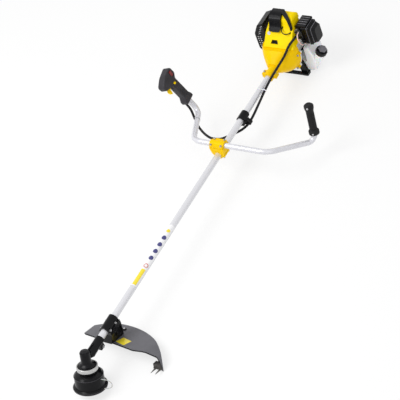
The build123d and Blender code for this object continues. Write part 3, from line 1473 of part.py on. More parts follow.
def filter_element():
    y0 = FILTER_Y + FILTER_WALL + FACE_GAP / 2
    return through_y(filter_outline(FILTER_WALL + FACE_GAP), y0, FILTER_Y + FILTER_BASE_DEPTH - 2)


def filter_cover():
    y0 = FILTER_Y + FILTER_BASE_DEPTH + FACE_GAP / 2
    y1 = y0 + FILTER_COVER_DEPTH
    outer = loft([on_y(filter_outline(-1.5), y0), on_y(filter_outline(-1.5), y0 + 10)])
    outer += loft([on_y(filter_outline(2.5), y0 + 10), on_y(filter_outline(9), y1)])
    inner = loft([on_y(filter_outline(5), y0 - 1), on_y(filter_outline(11), y1 - FILTER_WALL)])
    return outer - inner


TANK_X1 = SHAFT_REAR_X - TANK_FRONT_SETBACK
TANK_X0 = TANK_X1 - TANK_LENGTH
CAP_X = (TANK_X0 + TANK_X1) / 2 + 20.0
NECK_SIN = sin(radians(NECK_TILT))
NECK_COS = cos(radians(NECK_TILT))
NECK = Plane(origin=(CAP_X, TANK_LEFT + 18.0, -42.0), x_dir=(1, 0, 0), z_dir=(0, NECK_SIN, NECK_COS))
NECK_LENGTH = 26.0
NECK_BORE_R = 14.0
NECK_ROOT = 56.0


def tank_outline():
    return rounded(
        [
            (TANK_RIGHT, TANK_FLOOR),
            (TANK_LEFT - 8, TANK_FLOOR),
            (TANK_LEFT, TANK_FLOOR + 26),
            (TANK_LEFT, -34),
            (TANK_LEFT - 14, TANK_SHOULDER),
            (70, TANK_SHOULDER),
            (68, TANK_TOP),
            (TANK_RIGHT, TANK_TOP),
        ],
        [18, 16, 16, 20, 11, 8, 8, 18],
    )


def neck_plane(depth):
    """A plane across the filler neck, that deep below its mouth's base."""
    return Plane(NECK.origin - NECK.z_dir * depth, NECK.x_dir, NECK.z_dir)


def fuel_tank():
    outline = tank_outline()
    body = through_x(outline, TANK_X0, TANK_X1)
    body = fillet(body.faces().sort_by(Axis.X)[-1].edges() + body.faces().sort_by(Axis.X)[0].edges(), 7)
    body += extrude(neck_plane(NECK_ROOT) * Circle(CAP_R - 4), NECK_LENGTH + NECK_ROOT)
    hollow = through_x(offset(outline, -TANK_WALL - 4), TANK_X0 + TANK_WALL + 4, TANK_X1 - TANK_WALL - 4)
    body -= hollow
    body -= extrude(neck_plane(NECK_ROOT - 20) * Circle(NECK_BORE_R), NECK_LENGTH + NECK_ROOT)
    place = Plane(origin=(FUEL_SPOT[0], FUEL_SPOT[1], TANK_SHOULDER + 1), z_dir=(0, 0, 1))
    body -= extrude(place * Circle(FUEL_LINE_D / 2 + 1.0), -10)
    return body


FUEL_SPOT = (TANK_X1 - 26.0, 82.0)


def fuel_cap():
    """The ribbed screw cap, with a plug that goes down into the neck."""
    skirt = CAP_R - 4 + FACE_GAP
    body = turned(
        [
            (0, NECK_LENGTH - 10),
            (NECK_BORE_R - FACE_GAP, NECK_LENGTH - 10),
            (NECK_BORE_R - FACE_GAP, NECK_LENGTH + FACE_GAP),
            (skirt, NECK_LENGTH + FACE_GAP),
            (skirt, NECK_LENGTH + FACE_GAP - 12),
            (CAP_R, NECK_LENGTH + FACE_GAP - 12),
            (CAP_R, NECK_LENGTH + CAP_HEIGHT - 14),
            (CAP_R - 3, NECK_LENGTH + CAP_HEIGHT - 12),
            (0, NECK_LENGTH + CAP_HEIGHT - 11),
        ]
    )
    rib = Circle(1.6)
    for i in range(CAP_RIBS):
        spot = Rot(0, 0, 360 * i / CAP_RIBS) * (Pos(CAP_R, 0) * rib)
        body += extrude(Pos(0, 0, NECK_LENGTH - 11) * spot, CAP_HEIGHT - 4)
    body += Pos(0, 0, NECK_LENGTH + CAP_HEIGHT - 9) * Box(2 * CAP_R - 12, 8, 6)
    return NECK.location * body


def fuel_line():
    """The fuel hose, from the carburettor's top fitting down to the tank's shoulder."""
    x, y = FUEL_SPOT
    x_carb = CYLINDER_X + 26
    return cord(
        [
            (x_carb + 0.2, FUEL_FITTING_Y, FUEL_FITTING_Z),
            (x_carb + 16, FUEL_FITTING_Y + 1, FUEL_FITTING_Z - 1),
            (x_carb + 27, FUEL_FITTING_Y + 5, FUEL_FITTING_Z - 15),
            (x_carb + 26, FUEL_FITTING_Y + 10, FUEL_FITTING_Z - 37),
            (x_carb + 13, FUEL_FITTING_Y + 9, FUEL_FITTING_Z - 57),
            (x_carb - 8, FUEL_FITTING_Y + 3, FUEL_FITTING_Z - 72),
            (x + 4, y + 1.5, TANK_SHOULDER + 16),
            (x, y, TANK_SHOULDER - 5),
        ],
        FUEL_LINE_D,
    )


def engine_stand():
    """The black stand: two runners, two cross bars and a pair of front uprights to the crankcase."""
    x1 = SHAFT_REAR_X - STAND_FRONT_SETBACK
    x0 = x1 - STAND_LENGTH
    outer = STAND_HALF_WIDTH
    top = TANK_FLOOR - FACE_GAP / 2
    body = block(x0, x1, -outer, outer, FLOOR_Z + 3, top)
    body -= block(x0 + STAND_RAIL, x1 - STAND_RAIL, STAND_RAIL - outer, outer - STAND_RAIL, FLOOR_Z, top + 1)
    for side in (-1, 1):
        for x in (x0 + 14, x1 - 14):
            body += block(x - 12, x + 12, side * (outer - 18), side * (outer + 4), FLOOR_Z, top)
        upright = make_face(
            Polyline(
                (side * (outer + 2), FLOOR_Z + 4), (side * (outer - 26), FLOOR_Z + 4),
                (side * 26, -CRANKCASE_R - 6), (side * 46, -CRANKCASE_R - 4 - FACE_GAP / 2),
                (side * 56, -CRANKCASE_R - 12), close=True,
            )
        )
        body += through_x(upright, UPRIGHT_X0, UPRIGHT_X1)
    body -= rod(CRANKCASE_R + 3, x0, x1 + 1)
    return body


# Recoil starter at the rear

def starter_housing():
    x1 = CRANKCASE_REAR_X - FACE_GAP / 2
    x0 = STARTER_REAR_X
    body = turned_on_shaft(
        [
            (0, x1),
            (STARTER_R, x1),
            (STARTER_R, x1 - 18),
            (STARTER_R - 6, x0 + 8),
            (STARTER_R - 18, x0),
            (0, x0 - 2),
        ]
    )
    body -= pipe(PULLEY_R + 5, PULLEY_POST_R, x0 + 8, x1 + 1)
    body -= rod(PULLEY_R + 5, PULLEY_X + 8, x1 + 1)
    slot = Pos((STARTER_R + 34) / 2 - 2, 0) * SlotOverall(STARTER_R - 46, 5)
    for i in range(10):
        body -= extrude(station(x0 - 3) * (Rot(0, 0, 36 * i + 18) * slot), 14)
    rope = Plane(origin=(PULLEY_X, -PULLEY_R - ROPE_D / 2 - FACE_GAP, 0), z_dir=(0, 0, 1))
    body -= extrude(rope * Circle(ROPE_D / 2 + 0.8), STARTER_R + 5)
    return body


PULLEY_POST_R = 7.0


def starter_pulley():
    half = 5.0
    return turned_on_shaft(
        [
            (PULLEY_POST_R + RUN_GAP, PULLEY_X + half),
            (PULLEY_R + 3, PULLEY_X + half),
            (PULLEY_R + 3, PULLEY_X + half - 1.5),
            (PULLEY_R, PULLEY_X + half - 2.5),
            (PULLEY_R, PULLEY_X - half + 2.5),
            (PULLEY_R + 3, PULLEY_X - half + 1.5),
            (PULLEY_R + 3, PULLEY_X - half),
            (PULLEY_POST_R + RUN_GAP, PULLEY_X - half),
        ]
    )


ROPE_Y = -PULLEY_R - ROPE_D / 2 - FACE_GAP


def starter_rope():
    rope = Plane(origin=(PULLEY_X, ROPE_Y, 0), z_dir=(0, 0, 1))
    return extrude(rope * Circle(ROPE_D / 2), HANDLE_RISE + 6)


def starter_handle():
    """The T-shaped pull handle with a neck that guides the rope."""
    start = (PULLEY_X, ROPE_Y - HANDLE_WIDTH / 2, HANDLE_RISE + 16)
    grip = Plane(origin=start, x_dir=(1, 0, 0), z_dir=(0, 1, 0))
    bar = extrude(grip * Circle(9.5), HANDLE_WIDTH)
    bar = fillet(bar.edges(), 4)
    neck = Plane(origin=(PULLEY_X, ROPE_Y, HANDLE_RISE), z_dir=(0, 0, 1))
    body = bar + extrude(neck * Circle(7), 14)
    body -= extrude(neck * Circle(ROPE_D / 2 + SEAT_GAP), 6 + SEAT_GAP)
    return body


def cap_screws():
    """Every cap screw of the clamps, brackets and housings."""
    places = CLAMP_TOP_SCREWS + CLAMP_LOW_SCREWS + HANGER_SCREWS + BRACKET_SCREWS
    places += NECK_SCREWS + NOSE_SCREWS + FAN_SCREWS
    return [screw(place) for place in places]


def main():
    os.makedirs("parts", exist_ok=True)
    save("shaft_tube", shaft_tube())
    save("drive_shaft", drive_shaft())
    save("drive_bushes", *drive_bushes())
    save("hanger_clamp", hanger_clamp())
    save("handlebar", handlebar())
    save("clamp_saddle", clamp_saddle())
    save("clamp_cap", clamp_cap())
    save("clamp_foot", clamp_foot())
    save("left_grip", left_grip())
    save("throttle_grip_left", throttle_half(1))
    save("throttle_grip_right", throttle_half(-1))
    save("throttle_trigger", throttle_trigger())
    save("trigger_lockout", trigger_lockout())
    save("throttle_lock_button", throttle_lock_button())
    save("stop_switch", stop_switch())
    save("throttle_conduit", throttle_conduit())
    save("gear_case", gear_case())
    save("pinion", pinion())
    save("output_gear", output_gear())
    save("output_shaft", output_shaft())
    save("bearings", *bearings())
    save("collar", collar())
    save("head_housing", head_housing())
    save("spool", spool())
    save("cutting_line", *cutting_line())
    save("head_cover", head_cover())
    save("bump_knob", bump_knob())
    save("guard", guard())
    save("guard_bracket", guard_bracket())
    save("guard_bracket_cap", guard_bracket_cap())
    save("line_cutter", line_cutter())
    save("clutch_drum", clutch_drum())
    save("clutch_shoes", *clutch_shoes())
    save("flywheel", flywheel())
    save("crankshaft", crankshaft())
    save("fan_housing", fan_housing())
    save("crankcase", crankcase())
    save("cylinder", cylinder())
    save("spark_plug", spark_plug())
    save("engine_shroud", engine_shroud())
    save("plug_lead", plug_lead())
    save("plug_cover", plug_cover())
    save("muffler", muffler())
    save("muffler_cover", muffler_cover())
    save("carburettor", carburettor())
    save("primer_bulb", primer_bulb())
    save("throttle_lever", throttle_lever())
    save("choke_lever", choke_lever())
    save("filter_base", filter_base())
    save("filter_element", filter_element())
    save("filter_cover", filter_cover())
    save("fuel_tank", fuel_tank())
    save("fuel_cap", fuel_cap())
    save("fuel_line", fuel_line())
    save("engine_stand", engine_stand())
    save("starter_housing", starter_housing())
    save("starter_pulley", starter_pulley())
    save("starter_rope", starter_rope())
    save("starter_handle", starter_handle())
    save("cap_screws", *cap_screws())


main()
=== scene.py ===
"""A petrol string trimmer with a bike handle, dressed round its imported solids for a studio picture."""

import json
import math

import bmesh
import bpy
import numpy
from mathutils import Matrix, Vector
from mathutils.bvhtree import BVHTree

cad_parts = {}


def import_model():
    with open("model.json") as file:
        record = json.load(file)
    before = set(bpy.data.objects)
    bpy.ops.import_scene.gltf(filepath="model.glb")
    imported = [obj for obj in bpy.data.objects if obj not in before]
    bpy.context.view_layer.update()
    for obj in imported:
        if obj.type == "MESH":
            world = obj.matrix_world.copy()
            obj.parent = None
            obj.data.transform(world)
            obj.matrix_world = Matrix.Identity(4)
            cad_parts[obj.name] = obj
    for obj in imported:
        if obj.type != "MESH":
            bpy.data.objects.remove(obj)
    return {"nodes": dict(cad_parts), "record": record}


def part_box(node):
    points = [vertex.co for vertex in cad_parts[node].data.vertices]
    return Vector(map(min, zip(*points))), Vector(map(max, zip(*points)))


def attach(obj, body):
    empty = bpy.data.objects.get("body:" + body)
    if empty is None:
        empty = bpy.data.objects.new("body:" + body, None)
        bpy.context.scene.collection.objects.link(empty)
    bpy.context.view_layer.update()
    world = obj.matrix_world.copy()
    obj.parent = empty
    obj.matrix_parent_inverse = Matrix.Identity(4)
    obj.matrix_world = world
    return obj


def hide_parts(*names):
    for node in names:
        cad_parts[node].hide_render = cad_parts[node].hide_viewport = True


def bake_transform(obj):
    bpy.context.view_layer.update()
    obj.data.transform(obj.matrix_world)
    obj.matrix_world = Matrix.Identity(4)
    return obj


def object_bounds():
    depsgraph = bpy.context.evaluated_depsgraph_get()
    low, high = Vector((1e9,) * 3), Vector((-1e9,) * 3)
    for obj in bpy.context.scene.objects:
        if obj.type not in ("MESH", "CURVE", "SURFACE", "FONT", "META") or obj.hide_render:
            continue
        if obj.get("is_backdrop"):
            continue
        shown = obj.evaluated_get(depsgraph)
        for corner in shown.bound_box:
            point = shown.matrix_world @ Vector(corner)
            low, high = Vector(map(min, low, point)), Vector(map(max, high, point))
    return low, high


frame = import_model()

CAD_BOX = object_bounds()
NODES = frame["nodes"]
MM = 0.001
SHARP_ANGLE = math.radians(35)
WELD_DISTANCE = 1e-6

# Camera, as the photograph was taken: place in metres and the picture's right and down directions
CAMERA_PLACE = Vector((3.499, 3.134, 4.036))
CAMERA_RIGHT = Vector((-0.4617, 0.8359, -0.2969))
CAMERA_DOWN = Vector((0.7219, 0.1596, -0.6733))
CAMERA_LENS = 141.27
SENSOR_WIDTH = 36.0
CLIP_END = 100.0

# The studio: the floor and how much of its own shade it shows, the even light and two soft boxes
FLOOR_SIZE = 60.0
FLOOR_SHARE = 0.28
FLOOR_COLOUR = (0.9, 0.9, 0.9, 1.0)
WHITE = (1.0, 1.0, 1.0, 1.0)
WORLD_LIGHT = 0.68
LAMP_SIZE = 2.4
LAMPS = (("key", (2.0, -1.4, 3.6), 105), ("fill", (3.0, 3.4, 2.6), 16))

# What all materials share: the grain's relief, the edges' samples, the gloss patches and the range of the
# edges' wear and painted light
BUMP_STRENGTH = 0.6
EDGE_SAMPLES = 4
GLOSS_PATCH = 3.7
EDGE_RUB_AND_LIGHT_RANGE = (0.25, 0.9)

# The shaft's axis and radius in the row frame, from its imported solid
SHAFT_LOW, SHAFT_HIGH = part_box("shaft_tube")
SHAFT_Y = (SHAFT_LOW.y + SHAFT_HIGH.y) / 2
SHAFT_Z = (SHAFT_LOW.z + SHAFT_HIGH.z) / 2
SHAFT_R = (SHAFT_HIGH.z - SHAFT_LOW.z) / 2

# The strip on top of the shaft and its plain marks, along the shaft
STRIP_START = 0.582
STRIP_END = 0.884
STRIP_HALF_ARC = math.radians(66)
STRIP_THICKNESS = 0.00018
BAR_START = 0.804
BAR_END = 0.879
BAR_HALF_ARC = math.radians(36)
SPOT_PLACE = 0.6124
DOT_FIRST = 0.6465
DOT_PITCH = 0.0338
DOT_COUNT = 4
RING_PLACE = 0.7867
MARK_AROUND = 0.0045
DOT_R = 0.0095
RING_INNER_R = 0.65 * DOT_R
SPOT_R = 0.8 * DOT_R
ROUND_STEPS = 32
MARK_RISE = 0.0003
FILM_GAP = 0.0001

# The plain round on the shroud's sloping front, and the dark screen of painted shade behind its vent
BADGE_PLACE = Vector((-0.3904, -0.0756, 0.1083))
BADGE_NORMAL = Vector((0.72, 0.0, 0.69))
BADGE_R = 0.0075
VENT_MIDDLE = Vector((-0.3668, -0.0450, 0.0837))
VENT_HALF_WIDTH = 0.023
VENT_HALF_HEIGHT = 0.0135
VENT_DEPTH = 0.0045
VENT_RIBS = 5
VENT_RIB_DEPTH = 0.0008

# The starter's rope
ROPE_STRANDS = 3
ROPE_TURNS = 9
ROPE_GROOVE = 0.22
ROPE_RINGS = 121
ROPE_SIDES = 18

# Small round screw heads: name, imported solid, place, radius and finish
# A profile gives shares of a radius, each with its height in metres
BUTTON_PROFILE = ((1, -0.0004), (1, 0.0010), (0.8, 0.0018), (0.45, 0.0021), (0.35, 0.0010))
BUTTONS = (
    ("grip_button_upper", "left_grip", (0.0025, 0.2988, 0.1253), 0.0042, "steel"),
    ("grip_button_lower", "left_grip", (0.0198, 0.2982, 0.0049), 0.0036, "steel"),
    ("grease_plug", "gear_case", (1.1436, -0.0200, -0.0157), 0.0050, "steel"),
)

# The band on the handlebar, the tie round shaft and conduit, and the sockets of the cap screws with dark
# discs of painted shade in them
BAR_R = 0.011
SEAM_PLACE = (0.0328, -0.2173, 0.0117)
SEAM_WIDTH = 0.0017
SEAM_FOOT = 0.0001
SEAM_RISE = 0.0008
SEAM_REACH = 0.03
CONDUIT_R = 0.005
TIE_X = -0.160
TIE_CONDUIT = (-0.0067, 0.0152)
TIE_WIDTH = 0.0038
TIE_FOOT = 0.0002
TIE_RISE = 0.0014
TIE_SHAFT_STEPS = 24
TIE_CONDUIT_STEPS = 12
SOCKET_RISE = 0.0009
SOCKET_OUTER = 0.97
SOCKET_FLAT = 0.52
SOCKET_SHADE_FLOOR = 0.98

# The filter box's lips, pale beads of painted highlight, the hood beside it with its pale ribs of painted
# highlight, and the sheet in the muffler cover
FILTER_HIGHLIGHT_LIPS = (0.0008, 0.0170)
LIP_R = 0.0012
BELT_STEPS = 160
BEAD_SIDES = 8
HOOD_RISE = 0.010
HOOD_BACK = 0.004
HOOD_FRONT = 0.001
HOOD_FOOT = 0.002
HOOD_SEAT = 0.0002
HOOD_STEP = 0.0008
HOOD_CHAMFER = 0.006
HOOD_BEVEL = 0.0012
HOOD_RIBS = 4
RIB_HALF = 0.0015
RIB_RISE = 0.002
RIB_SINK = 0.0004
RIB_INNER = 0.008
RIB_OUTER = 0.003
RIB_SLOPE = 0.001
RIB_BEVEL = 0.0005
LINER_INSET = 0.005
LINER_RIGHT = 0.002
LINER_FOOT = (0.016, 0.020)
LINER_SHOULDER = (0.022, 0.020)
LINER_SIDE = 0.060
LINER_BACK = 0.012
LINER_DEPTH = 0.0030
LINER_SHEET = 0.0006
LINER_BEVEL = 0.0001
# White discs in the muffler cover's holes, painted light for the holes' bright look
LIT_HOLE_ROWS = 7
LIT_HOLE_FIRST = Vector((0.014, 0.022))
LIT_HOLE_PITCH = 0.0105
LIT_HOLE_R = 0.0025
LIT_HOLE_SINK = 0.0005
LIT_HOLE_PROFILE = ((1, -0.0006), (1, 0), (0.8, 0.0002))

# The rubber boot on the shroud's shoulder, by places near its skin; its black band also stands as painted
# shade in the shadowed gap beside the plug cover
BOOT_PLACES = (
    (-0.4490, -0.0190, 0.1689),
    (-0.4417, -0.0082, 0.1687),
    (-0.4326, 0.0045, 0.1651),
    (-0.4236, 0.0163, 0.1586),
    (-0.4170, 0.0225, 0.1477),
    (-0.4110, 0.0270, 0.1330),
    (-0.4080, 0.0310, 0.1200),
)
BOOT_R = 0.0085
BOOT_RIB = 0.0008
BOOT_RIBBED_SHARE = 0.35
BOOT_LIFT = 0.8
BOOT_THICK_END = 1.1
BOOT_TAPER = 0.5
BOOT_STEPS = 8

# The fuel cap's crown in pale grey of painted highlight, the guard's dark bead of painted shade and its
# lug, the switch's pad, and the head's rims below its collar, painted highlight lines
CROWN_R = 0.0185
CROWN_PROFILE = ((1, -0.0003), (0.92, 0.0045), (0.80, 0.0056))
GUARD_SHADE_BEAD_STEPS = 70
GUARD_SHADE_BEAD_INSET = 0.006
GUARD_SHADE_BEAD_R = 0.0023
GUARD_SHADE_BEAD_SEARCH = 0.0002
CAST_ABOVE = 0.01
LUG_PLACE = (1.0114, -0.0339, -0.0849)
LUG_R = 0.0080
LUG_PROFILE = ((1, -0.0005), (1, 0.0035), (0.85, 0.0045))
LUG_SCREW_PROFILE = ((0.5, 0.0044), (0.5, 0.0062), (0.38, 0.0070))
SWITCH_PAD = 0.0030
# The head's rims: beads in the paler grip plastic, painted highlight lines below the collar
HEAD_HIGHLIGHT_RIMS = (
    ("head_highlight_rim_upper", "head_housing", 0.0310),
    ("head_highlight_rim_lower", "head_cover", 0.0770),
)
HEAD_HIGHLIGHT_RIM_R = 0.0012

# The plain diamond on the guard's top
DIAMOND_CORNER = (1.0855, -0.0178)
DIAMOND_SIDES = ((-0.0307, 0.0122), (0.0088, 0.0416))


def join_nodes(material):
    """The node tree of a material, emptied down to its output."""
    tree = material.node_tree
    tree.nodes.clear()
    return tree, tree.nodes.new("ShaderNodeOutputMaterial")


def link(tree, source, target):
    """Joins one node's output to another's input."""
    tree.links.new(source, target)


def object_coordinates(tree, stretch=(1, 1, 1)):
    """Coordinates in the piece's own metres, stretched for a directional pattern."""
    place = tree.nodes.new("ShaderNodeTexCoord")
    mapping = tree.nodes.new("ShaderNodeMapping")
    mapping.inputs["Scale"].default_value = stretch
    link(tree, place.outputs["Object"], mapping.inputs["Vector"])
    return mapping.outputs["Vector"]


def noise(tree, vector, scale, detail=3.0, roughness=0.55):
    texture = tree.nodes.new("ShaderNodeTexNoise")
    texture.inputs["Scale"].default_value = scale
    texture.inputs["Detail"].default_value = detail
    texture.inputs["Roughness"].default_value = roughness
    link(tree, vector, texture.inputs["Vector"])
    return texture.outputs["Fac"]


def spread(tree, value, low, high, start=0.3, end=0.7):
    """The value's middle range carried to the range from low to high."""
    node = tree.nodes.new("ShaderNodeMapRange")
    node.inputs["From Min"].default_value = start
    node.inputs["From Max"].default_value = end
    node.inputs["To Min"].default_value = low
    node.inputs["To Max"].default_value = high
    link(tree, value, node.inputs["Value"])
    return node.outputs["Result"]


def mix(tree, factor, first, second):
    """Two colours mixed by a factor; each colour is a socket or three numbers."""
    node = tree.nodes.new("ShaderNodeMix")
    node.data_type = "RGBA"
    link(tree, factor, node.inputs["Factor"])
    for socket, colour in ((node.inputs[6], first), (node.inputs[7], second)):
        if isinstance(colour, tuple):
            socket.default_value = (*colour, 1.0)
        else:
            link(tree, colour, socket)
    return node.outputs[2]


def edges(tree, radius, sharpness=0.35):
    """A rounded normal for the edges, and a mask that is 1 on them."""
    bevel = tree.nodes.new("ShaderNodeBevel")
    bevel.samples = EDGE_SAMPLES
    bevel.inputs["Radius"].default_value = radius
    geometry = tree.nodes.new("ShaderNodeNewGeometry")
    dot = tree.nodes.new("ShaderNodeVectorMath")
    dot.operation = "DOT_PRODUCT"
    link(tree, bevel.outputs["Normal"], dot.inputs[0])
    link(tree, geometry.outputs["Normal"], dot.inputs[1])
    mask = spread(tree, dot.outputs["Value"], 1.0, 0.0, 1.0 - sharpness, 0.99)
    return bevel.outputs["Normal"], mask


def surface(
    name,
    colour,
    tint,
    roughness,
    rough_spread=0.08,
    patch=18.0,
    grain=900.0,
    grain_depth=0.02,
    stretch=(1, 1, 1),
    edge_rub_and_light_colour=None,
    edge_radius=0.0008,
    **sockets,
):
    """A material with slow colour changes, a fine grain in relief, uneven gloss and edges of another
    colour: worn edges on most materials, lighter edges of painted highlight on the black plastics and
    rubber, darker edges of painted shade on the guard.
    """
    material = bpy.data.materials.new(name)
    material.use_nodes = True
    tree, output = join_nodes(material)
    shader = tree.nodes.new("ShaderNodeBsdfPrincipled")
    link(tree, shader.outputs["BSDF"], output.inputs["Surface"])
    vector = object_coordinates(tree, stretch)
    slow = noise(tree, vector, patch, 4.0)
    fine = noise(tree, vector, grain, 2.0)
    base = mix(tree, spread(tree, slow, 0.0, 1.0), colour, tint)
    normal, mask = edges(tree, edge_radius)
    # Edges of another colour: real wear on most materials, painted highlight on the black plastics and
    # rubber, painted shade on the guard
    if edge_rub_and_light_colour is not None:
        edge_rub_and_light = tree.nodes.new("ShaderNodeMath")
        edge_rub_and_light.operation = "MULTIPLY"
        link(tree, mask, edge_rub_and_light.inputs[0])
        link(tree, spread(tree, slow, *EDGE_RUB_AND_LIGHT_RANGE), edge_rub_and_light.inputs[1])
        base = mix(tree, edge_rub_and_light.outputs["Value"], base, edge_rub_and_light_colour)
    link(tree, base, shader.inputs["Base Color"])
    low, high = roughness - rough_spread, roughness + rough_spread
    gloss = noise(tree, vector, patch * GLOSS_PATCH)
    link(tree, spread(tree, gloss, low, high), shader.inputs["Roughness"])
    bump = tree.nodes.new("ShaderNodeBump")
    bump.inputs["Strength"].default_value = BUMP_STRENGTH
    bump.inputs["Distance"].default_value = grain_depth * MM
    link(tree, fine, bump.inputs["Height"])
    link(tree, normal, bump.inputs["Normal"])
    link(tree, bump.outputs["Normal"], shader.inputs["Normal"])
    for socket, value in sockets.items():
        shader.inputs[socket.replace("_", " ")].default_value = value
    return material


